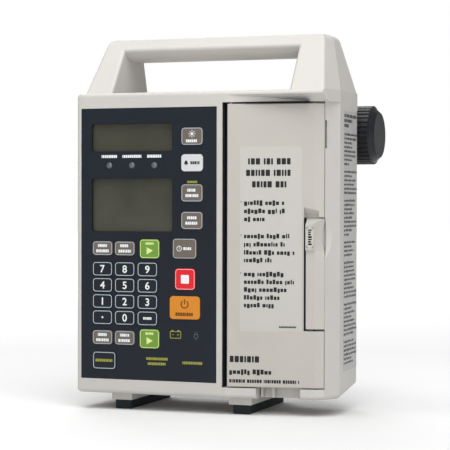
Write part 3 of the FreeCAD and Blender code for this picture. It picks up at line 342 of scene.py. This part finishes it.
class Print:
    """Gathers flat outlines and turns them into one thin raised mesh."""

    def __init__(self, sheet, lift=0.02, thick=0.05):
        self.sheet = sheet
        self.lift = lift
        self.thick = thick
        self.bm = bmesh.new()

    def area(self, outline):
        """Filled outline, counter-clockwise as seen from outside."""
        low = [self.bm.verts.new(self.sheet.point(x, z, self.lift)) for x, z in outline]
        high = [self.bm.verts.new(self.sheet.point(x, z, self.lift + self.thick)) for x, z in outline]
        self.bm.faces.new(high)
        self.bm.faces.new(list(reversed(low)))
        self.walls(low, high)

    def walls(self, low, high):
        for i in range(len(low)):
            j = (i + 1) % len(low)
            self.bm.faces.new((low[i], low[j], high[j], high[i]))

    def ring(self, outer, inner):
        """Band between two outlines with the same number of points."""
        rings = []
        for outline in (outer, inner):
            low = [self.bm.verts.new(self.sheet.point(x, z, self.lift)) for x, z in outline]
            high = [self.bm.verts.new(self.sheet.point(x, z, self.lift + self.thick))
                    for x, z in outline]
            rings.append((low, high))
        (low_o, high_o), (low_i, high_i) = rings
        for i in range(len(outer)):
            j = (i + 1) % len(outer)
            self.bm.faces.new((high_o[i], high_o[j], high_i[j], high_i[i]))
            self.bm.faces.new((low_o[j], low_o[i], low_i[i], low_i[j]))
        self.walls(low_o, high_o)
        self.walls(list(reversed(low_i)), list(reversed(high_i)))

    def bar(self, x0, x1, z0, z1, radius=0.12):
        self.area(rounded(x0, x1, z0, z1, min(radius, (x1 - x0) / 2.05, (z1 - z0) / 2.05), 3))

    def stroke(self, points, width):
        """A line of even width through points, as a chain of short bars with round ends."""
        for (ax, az), (bx, bz) in zip(points[:-1], points[1:]):
            angle = math.atan2(bz - az, bx - ax)
            outline = []
            for cx, cz, turn in ((bx, bz, -0.5), (ax, az, 0.5)):
                for step in range(5):
                    a = angle + math.pi * (turn + step / 4.0)
                    outline.append((cx + width / 2 * math.cos(a), cz + width / 2 * math.sin(a)))
            self.area(outline)

    def arc(self, x, z, radius, start, end, width, steps=20):
        points = []
        for step in range(steps + 1):
            a = math.radians(start + (end - start) * step / steps)
            points.append((x + radius * math.cos(a), z + radius * math.sin(a)))
        outer = [(x + (px - x) * (1 + width / 2 / radius), z + (pz - z) * (1 + width / 2 / radius))
                 for px, pz in points]
        inner = [(x + (px - x) * (1 - width / 2 / radius), z + (pz - z) * (1 - width / 2 / radius))
                 for px, pz in points]
        self.area(outer + list(reversed(inner)))

    def finish(self, name, body, ink):
        bmesh.ops.recalc_face_normals(self.bm, faces=self.bm.faces)
        mesh = bpy.data.meshes.new(name)
        self.bm.to_mesh(mesh)
        self.bm.free()
        mesh.materials.append(ink)
        piece = bpy.data.objects.new(name, mesh)
        bpy.context.scene.collection.objects.link(piece)
        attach(piece, body)


def rounded(x0, x1, z0, z1, radius, steps=6):
    """Outline of a box with round corners, counter-clockwise."""
    outline = []
    for cx, cz, start in ((x1 - radius, z0 + radius, -90), (x1 - radius, z1 - radius, 0),
                          (x0 + radius, z1 - radius, 90), (x0 + radius, z0 + radius, 180)):
        for step in range(steps + 1):
            a = math.radians(start + 90.0 * step / steps)
            outline.append((cx + radius * math.cos(a), cz + radius * math.sin(a)))
    return outline


def mock_line(ink, seed, x0, z, width, height, words=3, ragged=0.12, caps=False):
    """One line of stand-in text: words of small blocks, which spell nothing."""
    dice = random.Random(seed)
    x = x0
    end = x0 + width * (1.0 - ragged * dice.random())
    left_in_word = dice.randint(2, 7) if words > 1 else 99
    while x < end - height * 0.3:
        if left_in_word == 0:
            x += height * 0.45
            left_in_word = dice.randint(3, 8)
            continue
        block_w = height * dice.choice((0.5, 0.58, 0.64, 0.7, 0.3))
        top = height if caps else height * dice.choice((0.74, 0.74, 0.74, 1.0))
        drop = 0.0 if caps else height * dice.choice((0.0, 0.0, 0.0, 0.0, 0.2))
        ink.bar(x, min(x + block_w, end), z - height / 2 - drop, z - height / 2 + top, height * 0.1)
        x += block_w + height * 0.15
        left_in_word -= 1


def mock_centred(ink, seed, x, z, width, height, caps=True):
    mock_line(ink, seed, x - width / 2, z, width, height, 1, 0.0, caps)


def number(text, sheet, x, z, height, name, body, bold=0.00012):
    """A figure in Blender's own typeface, turned into a thin mesh."""
    curve = bpy.data.curves.new(name, "FONT")
    curve.body = text
    curve.size = height / 0.72 * MM
    curve.align_x = "CENTER"
    curve.align_y = "CENTER"
    curve.extrude = 0.00003
    curve.offset = bold
    curve.resolution_u = 6
    source = bpy.data.objects.new(name + "_source", curve)
    bpy.context.scene.collection.objects.link(source)
    bpy.context.view_layer.update()
    mesh = bpy.data.meshes.new_from_object(source.evaluated_get(bpy.context.evaluated_depsgraph_get()))
    mesh.name = name
    bpy.data.objects.remove(source)
    low = [min(v.co[i] for v in mesh.vertices) for i in range(2)]
    high = [max(v.co[i] for v in mesh.vertices) for i in range(2)]
    shift = Vector(((low[0] + high[0]) / 2, (low[1] + high[1]) / 2, 0))
    turn = Matrix((sheet.across, sheet.up, sheet.out)).transposed()
    base = sheet.point(x, z, 0.05)
    for vertex in mesh.vertices:
        vertex.co = base + turn @ (vertex.co - shift)
    mesh.materials.clear()
    mesh.materials.append(INK_WHITE)
    piece = bpy.data.objects.new(name, mesh)
    bpy.context.scene.collection.objects.link(piece)
    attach(piece, body)


# ---------------------------------------------------------------- keypad print

KEY_FRONT_Y = -0.6
PANEL_Y = 0.1
KEYS = Sheet(at(0, KEY_FRONT_Y, 0), Vector((1, 0, 0)), Vector((0, 0, 1)))
PANEL = Sheet(at(0, PANEL_Y, 0), Vector((1, 0, 0)), Vector((0, 0, 1)))


def key_spot(node):
    """Centre and size of a key's face, in millimetres on the keypad."""
    low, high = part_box(node)
    x0, x1 = low[0] / MM + ORIGIN.x, high[0] / MM + ORIGIN.x
    z0, z1 = low[2] / MM, high[2] / MM
    return (x0 + x1) / 2, (z0 + z1) / 2, x1 - x0, z1 - z0


def key_outline(node, ink_colour, width=0.55, inset=0.35):
    x, z, w, h = key_spot(node)
    ring = Print(KEYS)
    outer = rounded(x - w / 2 + inset, x + w / 2 - inset, z - h / 2 + inset, z + h / 2 - inset, 2.3)
    step = inset + width
    inner = rounded(x - w / 2 + step, x + w / 2 - step, z - h / 2 + step, z + h / 2 - step, 1.8)
    ring.ring(outer, inner)
    ring.finish(node + "_outline", node, ink_colour)


def icon_triangle(ink, x, z, size):
    ink.area([(x - size * 0.42, z - size * 0.5), (x + size * 0.52, z), (x - size * 0.42, z + size * 0.5)])


def icon_stop(ink, x, z, size):
    ink.area(rounded(x - size / 2, x + size / 2, z - size / 2, z + size / 2, size * 0.12, 4))


def icon_power(ink, x, z, size):
    ink.arc(x, z, size * 0.46, 122, 418, size * 0.13)
    ink.bar(x - size * 0.07, x + size * 0.07, z, z + size * 0.62, 0.2)


def icon_sun(ink, x, z, size):
    ink.area([(x + size * 0.2 * math.cos(a * math.pi / 8), z + size * 0.2 * math.sin(a * math.pi / 8))
              for a in range(16)])
    for ray in range(8):
        a = ray * math.pi / 4
        ink.stroke([(x + size * 0.32 * math.cos(a), z + size * 0.32 * math.sin(a)),
                    (x + size * 0.48 * math.cos(a), z + size * 0.48 * math.sin(a))], size * 0.08)


def icon_bell(ink, x, z, size):
    outline = [(x - size * 0.4, z - size * 0.28), (x + size * 0.4, z - size * 0.28)]
    for step in range(13):
        a = math.radians(15 * step)
        outline.append((x + size * 0.28 * math.cos(a), z + size * 0.12 + size * 0.3 * math.sin(a)))
    ink.area(outline)
    ink.arc(x, z - size * 0.34, size * 0.1, 180, 360, size * 0.08, 8)


def icon_clock(ink, x, z, size):
    ink.arc(x, z, size * 0.44, 0, 360, size * 0.1, 28)
    ink.stroke([(x, z + size * 0.28), (x, z), (x + size * 0.2, z - size * 0.1)], size * 0.09)


for node_name in sorted(NODES):
    if not node_name.startswith("key_"):
        continue
    short = node_name[4:]
    x, z, w, h = key_spot(node_name)
    if short in "0123456789":
        key_outline(node_name, INK_OUTLINE)
        number(short, KEYS, x, z, 5.6, node_name + "_figure", node_name)
    elif short == "silence":
        ink = Print(KEYS)
        icon_bell(ink, x - 4.6, z, 4.0)
        mock_line(ink, 41, x - 1.2, z, 7.2, 2.2, 1, 0.0, True)
        ink.finish(node_name + "_print", node_name, INK_BLACK)
    elif short == "stop":
        key_outline(node_name, printed("ink_rose", (240, 170, 176)), 0.5)
        ink = Print(KEYS)
        icon_stop(ink, x, z, 6.4)
        ink.finish(node_name + "_print", node_name, INK_WHITE)
    elif short == "on_off":
        ink = Print(KEYS)
        icon_power(ink, x, z + 2.6, 6.0)
        mock_centred(ink, 17, x, z - 4.8, 14.5, 2.5)
        ink.finish(node_name + "_print", node_name, INK_BROWN)
    elif short.endswith("_start"):
        key_outline(node_name, INK_LIME, 0.45)
        ink = Print(KEYS)
        icon_triangle(ink, x, z - 1.4, 5.4)
        mock_centred(ink, 23 + len(short), x, z + 4.0, 6.4, 1.8)
        ink.finish(node_name + "_print", node_name, INK_LIME)
    elif short == "time":
        key_outline(node_name, INK_OUTLINE, 0.4)
        ink = Print(KEYS)
        icon_clock(ink, x - 4.2, z, 4.2)
        mock_line(ink, 29, x - 0.9, z, 6.4, 2.1, 1, 0.0, True)
        ink.finish(node_name + "_print", node_name, INK_WHITE)
    elif short == "backlight":
        key_outline(node_name, INK_OUTLINE, 0.45)
        ink = Print(KEYS)
        icon_sun(ink, x, z + 1.8, 5.4)
        mock_centred(ink, 31, x, z - 3.4, 9.4, 2.1)
        ink.finish(node_name + "_print", node_name, INK_WHITE)
    elif short == "point":
        key_outline(node_name, INK_OUTLINE)
        ink = Print(KEYS)
        ink.area([(x + 0.75 * math.cos(a * math.pi / 7), z + 0.75 * math.sin(a * math.pi / 7))
                  for a in range(14)])
        ink.finish(node_name + "_print", node_name, INK_WHITE)
    elif short == "clear":
        key_outline(node_name, INK_OUTLINE)
        ink = Print(KEYS)
        mock_centred(ink, 37, x, z, 6.6, 1.9)
        ink.finish(node_name + "_print", node_name, INK_WHITE)
    elif short == "options":
        key_outline(node_name, INK_OUTLINE)
        ink = Print(KEYS)
        mock_centred(ink, 43, x, z, 14.2, 2.1)
        ink.finish(node_name + "_print", node_name, INK_OLIVE)
    else:
        key_outline(node_name, INK_OUTLINE, 0.45)
        ink = Print(KEYS)
        seed = sum(ord(c) for c in short)
        span = min(w - 4.4, 10.2)
        mock_centred(ink, seed, x, z + 2.0, span * 0.72, 2.2)
        mock_centred(ink, seed + 1, x, z - 2.0, span, 2.2)
        ink.finish(node_name + "_print", node_name, INK_WHITE)

# captions over the lamps, and a ring round each: lamp place and caption width
LAMPS = ((-73.1, 12.6), (-54.7, 15.4), (-36.6, 11.4))
LAMP_Z = 184.2
LAMP_CAPTION_Z = 190.9

captions = Print(PANEL)
for seed, (x, width) in enumerate(LAMPS):
    mock_centred(captions, 60 + seed, x, LAMP_CAPTION_Z, width, 2.2)
captions.finish("lamp_captions", "case", INK_WHITE)

surrounds = Print(PANEL)
for x, width in LAMPS:
    surrounds.arc(x, LAMP_Z, 2.15, 0, 360, 0.3, 32)
surrounds.finish("lamp_surrounds", "case", INK_DIM)

# captions in olive below and over the keys
olive = Print(PANEL)
mock_centred(olive, 71, -6.3, 171.6, 8.0, 1.7)
mock_centred(olive, 72, -34.2, 39.6, 17.4, 2.0)
mock_centred(olive, 73, -34.2, 35.9, 15.0, 2.0)
mock_centred(olive, 74, -6.0, 37.4, 15.6, 2.0)
# battery sign
x, z = -19.4, 58.2
olive.ring(rounded(x - 4.4, x + 4.4, z - 2.9, z + 2.5, 0.5), rounded(x - 3.9, x + 3.9, z - 2.4, z + 2.0, 0.3))
for side in (-2.4, 2.4):
    olive.bar(x + side - 0.8, x + side + 0.8, z + 2.5, z + 3.3, 0.1)
olive.bar(x - 2.8, x - 1.2, z - 0.35, z + 0.05, 0.1)
olive.bar(x + 1.2, x + 2.8, z - 0.35, z + 0.05, 0.1)
olive.bar(x + 1.8, x + 2.2, z - 0.95, z + 0.65, 0.1)
olive.finish("panel_captions", "case", INK_OLIVE)

# mains plug sign
plug = Print(PANEL)
x, z = -3.1, 58.5
plug.ring(rounded(x - 1.7, x + 1.7, z - 2.8, z + 0.4, 1.0),
          rounded(x - 1.25, x + 1.25, z - 2.35, z - 0.05, 0.7))
plug.bar(x - 1.1, x - 0.7, z + 0.4, z + 2.2, 0.1)
plug.bar(x + 0.7, x + 1.1, z + 0.4, z + 2.2, 0.1)
plug.bar(x - 0.2, x + 0.2, z - 4.2, z - 2.8, 0.1)
plug.finish("plug_sign", "case", INK_DIM)

# dark frames printed round both displays
for label, node in (("upper", "lcd_upper"), ("lower", "lcd_lower")):
    low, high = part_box(node)
    x0, x1 = low[0] / MM + ORIGIN.x + 4.0, high[0] / MM + ORIGIN.x - 4.0
    z0, z1 = low[2] / MM + 4.0, high[2] / MM - 4.0
    edge = Print(PANEL)
    edge.ring(rounded(x0 - 0.7, x1 + 0.7, z0 - 0.7, z1 + 0.7, 2.6), rounded(x0, x1, z0, z1, 2.0))
    edge.finish("display_edge_" + label, "case", BEZEL)


# ---------------------------------------------------------------- door label and print

DOOR_X0 = 20.8
DOOR_FRONT_Y = 0.3
DOOR_RUN = Vector((64.2, 9.9, 0))
DOOR = Sheet(at(DOOR_X0, DOOR_FRONT_Y, 0), DOOR_RUN, Vector((0, 0, 1)))
SLANT = DOOR_RUN.length / DOOR_RUN.x


def across_door(x):
    """Distance along the slanted door front for an X off the case middle."""
    return (x - DOOR_X0) * SLANT


plate = Print(DOOR, 0.0, 0.12)
plate.area(rounded(across_door(30.6), across_door(75.9), 61.9, 197.5, 1.6))
plate.finish("door_label", "door", LABEL)

text = Print(DOOR, 0.13, 0.03)
# heading lines as start, end and height; body lines all start at one margin
HEADING = ((36.5, 67.9, 186.6), (35.1, 68.6, 178.2), (39.5, 64.6, 169.8))
MARGIN_X = 33.6
BODY_LINES = ((63.0, 156.4), (64.5, 150.4), (49.5, 144.5),
              (68.0, 132.0), (65.0, 126.0), (70.5, 120.0), (54.5, 114.4),
              (65.6, 104.2), (71.0, 98.5), (66.0, 92.8), (61.0, 87.0), (55.5, 81.4))
for seed, (x0, x1, z) in enumerate(HEADING):
    mock_line(text, 101 + seed, across_door(x0), z, (x1 - x0) * SLANT, 4.6, 3, 0.0, True)
for seed, (x1, z) in enumerate(BODY_LINES):
    mock_line(text, 121 + seed, across_door(MARGIN_X), z, (x1 - MARGIN_X) * SLANT, 3.4, 3, 0.0)
for z in (157.0, 132.6, 104.8):
    text.bar(across_door(31.0), across_door(31.8), z - 0.4, z + 0.4, 0.35)
mock_line(text, 150, across_door(59.5), 65.5, 12.6, 1.3, 1, 0.0, True)
text.finish("door_label_lines", "door", INK_BLACK)

marks = Print(DOOR, 0.0, 0.05)
mock_line(marks, 160, across_door(23.2), 41.5, 23.8, 4.6, 1, 0.0, True)
mock_line(marks, 161, across_door(22.9), 32.3, 32.0, 3.6, 3, 0.0)
mock_line(marks, 162, across_door(22.9), 25.4, 53.0, 2.5, 3, 0.0, True)
marks.finish("door_marks", "door", INK_BLACK)

# ---------------------------------------------------------------- latch label

LATCH_X0 = 78.9
LATCH_FRONT_Y = 7.76
LATCH_RUN = Vector((6.7, 0.94, 0))
LATCH = Sheet(at(LATCH_X0, LATCH_FRONT_Y, 0), LATCH_RUN, Vector((0, 0, 1)))
latch_plate = Print(LATCH, 0.0, 0.06)
latch_plate.area(rounded(0.7, 6.0, 123.2, 138.9, 0.5, 4))
latch_plate.finish("latch_label", "latch", LABEL)
brackets = Print(LATCH, 0.07, 0.03)
for x, turn in ((0.95, 1), (5.75, -1)):
    for z, climb in ((123.5, 1), (138.6, -1)):
        for arm, leg in ((1.3, 0.3), (0.3, 1.8)):
            far_x = x + turn * arm
            far_z = z + climb * leg
            brackets.bar(min(x, far_x), max(x, far_x), min(z, far_z), max(z, far_z), 0.05)
dice = random.Random(7)
z = 125.6
while z < 136.6:
    size = dice.choice((1.0, 1.3, 1.5))
    brackets.bar(2.0, 4.7 - dice.choice((0.0, 0.0, 0.7)), z, z + size, 0.15)
    z += size + 0.5
brackets.finish("latch_label_marks", "latch", INK_BLACK)

# ---------------------------------------------------------------- label on the right-hand side

SIDE_RUN = Vector((-1.0, 50.7, 0))
SIDE = Sheet(at(100.0, 26.3, 0), SIDE_RUN, Vector((0, 0, 1)))
side_plate = Print(SIDE, 0.0, 0.1)
side_plate.area(rounded(9.0, 48.6, 31.5, 224.5, 1.5))
side_plate.finish("side_label", "case", SIDE_LABEL)
small = Print(SIDE, 0.11, 0.02)
dice = random.Random(11)
z = 221.0
row = 0
while z > 36.0:
    if row in (3, 11, 17, 26, 30, 39, 47):
        z -= 2.6
    bold = row < 3
    height = 2.4 if bold else 1.9
    width = dice.choice((30.0, 34.0, 37.0, 37.5, 24.0)) if row not in (2, 10, 25) else 15.0
    mock_line(small, 200 + row, 10.6, z, width, height, 3, 0.05, bold)
    z -= height + 1.25
    row += 1
small.finish("side_label_lines", "case", INK_GREY)

# ---------------------------------------------------------------- dark strips in the door's gaps: painted shade

def gap_shade_strip(name, spans, run_axis, start, stop, body):
    """Dark strip with the rubber finish, painted shade in a gap: a small ribbed section, run along X or Z."""
    bm = bmesh.new()
    ends = []
    for place_on_axis in (start, stop):
        ring = []
        for x, y in spans:
            point = (x, y, place_on_axis) if run_axis == "z" else (place_on_axis, x, y)
            ring.append(bm.verts.new(at(*point)))
        ends.append(ring)
    first, last = ends
    for k in range(len(spans)):
        n = (k + 1) % len(spans)
        bm.faces.new((first[k], first[n], last[n], last[k]))
    bm.faces.new(first)
    bm.faces.new(list(reversed(last)))
    bmesh.ops.recalc_face_normals(bm, faces=bm.faces)
    mesh = bpy.data.meshes.new(name)
    bm.to_mesh(mesh)
    bm.free()
    mesh.materials.append(FINISH["foot_rubber"])
    piece = bpy.data.objects.new(name, mesh)
    bpy.context.scene.collection.objects.link(piece)
    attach(piece, body)


def gap_shade_section(depth0, depth1, base, thick, toward):
    """Section of a painted-shade strip that lies on a wall and carries three low ribs."""
    outline = [(base, depth0), (base, depth1)]
    ribs = 3
    for k in range(ribs):
        z1 = depth1 - (depth1 - depth0) * k / ribs
        z0 = depth1 - (depth1 - depth0) * (k + 0.55) / ribs
        outline += [(base + toward * thick, z1 - 0.15), (base + toward * thick, z0),
                    (base + toward * thick * 0.5, z0 - 0.1)]
    return outline


# dark strips along the hinge side, over the door and in the latch gap: painted shade where the gaps are deep
gap_shade_strip("hinge_side_gap_shade", gap_shade_section(1.2, 17.8, 17.22, 0.45, 1), "z", 20.4, 229.9, "case")
gap_shade_strip("door_top_gap_shade", [(y, z) for z, y in gap_shade_section(1.4, 17.6, 230.08, 0.4, -1)], "x", 17.9, 82.0, "case")

gap_shade_strip("latch_gap_shade", gap_shade_section(9.3, 14.8, 77.37, 0.35, 1), "z", 63.2, 145.5, "door")

# ---------------------------------------------------------------- clamp screw with its thread

CLAMP_AXIS_Y = 102.0
CLAMP_AXIS_Z = 208.7


def threaded_rod(name, x0, x1, major, minor, pitch, body, finish):
    """Rod along X with a rounded trapezoid thread that fades out at both ends."""
    bm = bmesh.new()
    turns = 28
    rows = int((x1 - x0) / (pitch / 8.0))
    rings = []
    for row in range(rows + 1):
        x = x0 + (x1 - x0) * row / rows
        ring = []
        for k in range(turns):
            angle = 2 * math.pi * k / turns
            phase = ((x - x0) / pitch - k / turns) % 1.0
            flank = min(1.0, max(0.0, (0.5 - abs(phase - 0.5)) * 4.0 - 0.5))
            fade = min(1.0, (x - x0) / pitch, (x1 - x) / pitch)
            radius = minor + (major - minor) * flank * max(0.0, fade)
            ring.append(bm.verts.new(at(x, CLAMP_AXIS_Y + radius * math.cos(angle),
                                        CLAMP_AXIS_Z + radius * math.sin(angle))))
        rings.append(ring)
    for a, b in zip(rings[:-1], rings[1:]):
        for k in range(turns):
            n = (k + 1) % turns
            bm.faces.new((a[k], a[n], b[n], b[k]))
    bm.faces.new(list(reversed(rings[0])))
    bm.faces.new(rings[-1])
    bmesh.ops.recalc_face_normals(bm, faces=bm.faces)
    mesh = bpy.data.meshes.new(name)
    bm.to_mesh(mesh)
    bm.free()
    for polygon in mesh.polygons:
        polygon.use_smooth = True
    mesh.materials.append(finish)
    piece = bpy.data.objects.new(name, mesh)
    bpy.context.scene.collection.objects.link(piece)
    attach(piece, body)
    return piece


screw = threaded_rod("clamp_screw_thread", 32.05, 97.9, 4.98, 4.3, 3.0, "clamp_handle", FINISH["steel"])
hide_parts("clamp_screw")

# ---------------------------------------------------------------- stage, light and camera

def studio_floor(radius, spokes=64):
    """Round floor, far wider than any view of the object."""
    bm = bmesh.new()
    rings = [[bm.verts.new((0.0, 0.0, 0.0))]]
    for share in (0.03, 0.08, 0.2, 0.5, 1.0):
        ring = []
        for k in range(spokes):
            a = 2 * math.pi * k / spokes
            ring.append(bm.verts.new((radius * share * math.cos(a), radius * share * math.sin(a), 0.0)))
        rings.append(ring)
    for k in range(spokes):
        bm.faces.new((rings[0][0], rings[1][k], rings[1][(k + 1) % spokes]))
    for inner, outer in zip(rings[1:-1], rings[2:]):
        for k in range(spokes):
            n = (k + 1) % spokes
            bm.faces.new((inner[k], outer[k], outer[n], inner[n]))
    mesh = bpy.data.meshes.new("studio_floor")
    bm.to_mesh(mesh)
    bm.free()
    floor = bpy.data.objects.new("studio_floor", mesh)
    bpy.context.scene.collection.objects.link(floor)
    material, nodes, links, shader = new_material("studio_white")
    vector = place(nodes, links)
    tint = noise(nodes, links, vector, 3.0, 2.0)
    links.new(blend_colour(nodes, links, tint, (0.71, 0.71, 0.71, 1), (0.73, 0.73, 0.73, 1)),
              shader.inputs["Base Color"])
    # the floor glows, from none within 0.5 m of the middle up to 0.95 at 3.2 m: painted light that whitens
    # the far floor
    away = nodes.new("ShaderNodeVectorMath")
    away.operation = "LENGTH"
    links.new(vector, away.inputs[0])
    links.new(spread(nodes, links, away.outputs["Value"], 0.0, 0.95, 0.5, 3.2),
              shader.inputs["Emission Strength"])
    shader.inputs["Emission Color"].default_value = (1, 1, 1, 1)
    shader.inputs["Roughness"].default_value = 0.9
    shader.inputs["Specular IOR Level"].default_value = 0.0
    mesh.materials.append(material)


def studio_world():
    """Dim white surroundings for the light, plain white behind everything."""
    world = bpy.data.worlds.new("studio_world")
    bpy.context.scene.world = world
    world.use_nodes = True
    nodes = world.node_tree.nodes
    links = world.node_tree.links
    dim = nodes["Background"]
    dim.inputs["Color"].default_value = (1.0, 1.0, 1.0, 1.0)
    dim.inputs["Strength"].default_value = 0.27
    plain = nodes.new("ShaderNodeBackground")
    plain.inputs["Color"].default_value = (1.0, 1.0, 1.0, 1.0)
    path = nodes.new("ShaderNodeLightPath")
    pick = nodes.new("ShaderNodeMixShader")
    links.new(path.outputs["Is Camera Ray"], pick.inputs["Fac"])
    links.new(dim.outputs["Background"], pick.inputs[1])
    links.new(plain.outputs["Background"], pick.inputs[2])
    links.new(pick.outputs["Shader"], nodes["World Output"].inputs["Surface"])


def soft_light(name, spot, target, size, power):
    lamp = bpy.data.lights.new(name, "AREA")
    lamp.shape = "RECTANGLE"
    lamp.size, lamp.size_y = size
    lamp.energy = power
    holder = bpy.data.objects.new(name, lamp)
    bpy.context.scene.collection.objects.link(holder)
    holder.location = spot
    holder.rotation_euler = (Vector(target) - Vector(spot)).to_track_quat("-Z", "Y").to_euler()


studio_floor(7.0)
studio_world()
soft_light("key_soft", (0.75, -1.25, 1.85), (0.0, 0.0, 0.14), (2.0, 1.8), 36.0)
soft_light("low_fill", (0.8, -1.9, 0.25), (0.0, 0.0, 0.2), (1.6, 0.7), 9.0)
soft_light("overhead_soft", (-0.15, -0.35, 2.2), (0.0, 0.0, 0.2), (1.6, 1.4), 28.0)
soft_light("back_soft", (-0.9, 1.5, 1.9), (0.0, 0.0, 0.14), (1.4, 1.4), 22.0)

YAW = math.radians(19.803)
PITCH = math.radians(0.8126)
ROLL = math.radians(0.105)
forward = Vector((-math.sin(YAW) * math.cos(PITCH), math.cos(YAW) * math.cos(PITCH), -math.sin(PITCH)))
level = Vector((math.cos(YAW), math.sin(YAW), 0.0))
rise = level.cross(forward)
right = level * math.cos(ROLL) + rise * math.sin(ROLL)
up = rise * math.cos(ROLL) - level * math.sin(ROLL)
lens_data = bpy.data.cameras.new("studio_camera")
lens_data.lens = 133.33
lens_data.sensor_width = 36.0
lens_data.clip_start = 0.05
camera = bpy.data.objects.new("studio_camera", lens_data)
bpy.context.scene.collection.objects.link(camera)
camera.matrix_world = Matrix.Translation((0.4294, -1.2140, 0.1573)) @ Matrix(
    (right, up, -forward)).transposed().to_4x4()
bpy.context.scene.camera = camera

bpy.context.scene.view_settings.view_transform = "Standard"

bpy.context.view_layer.update()
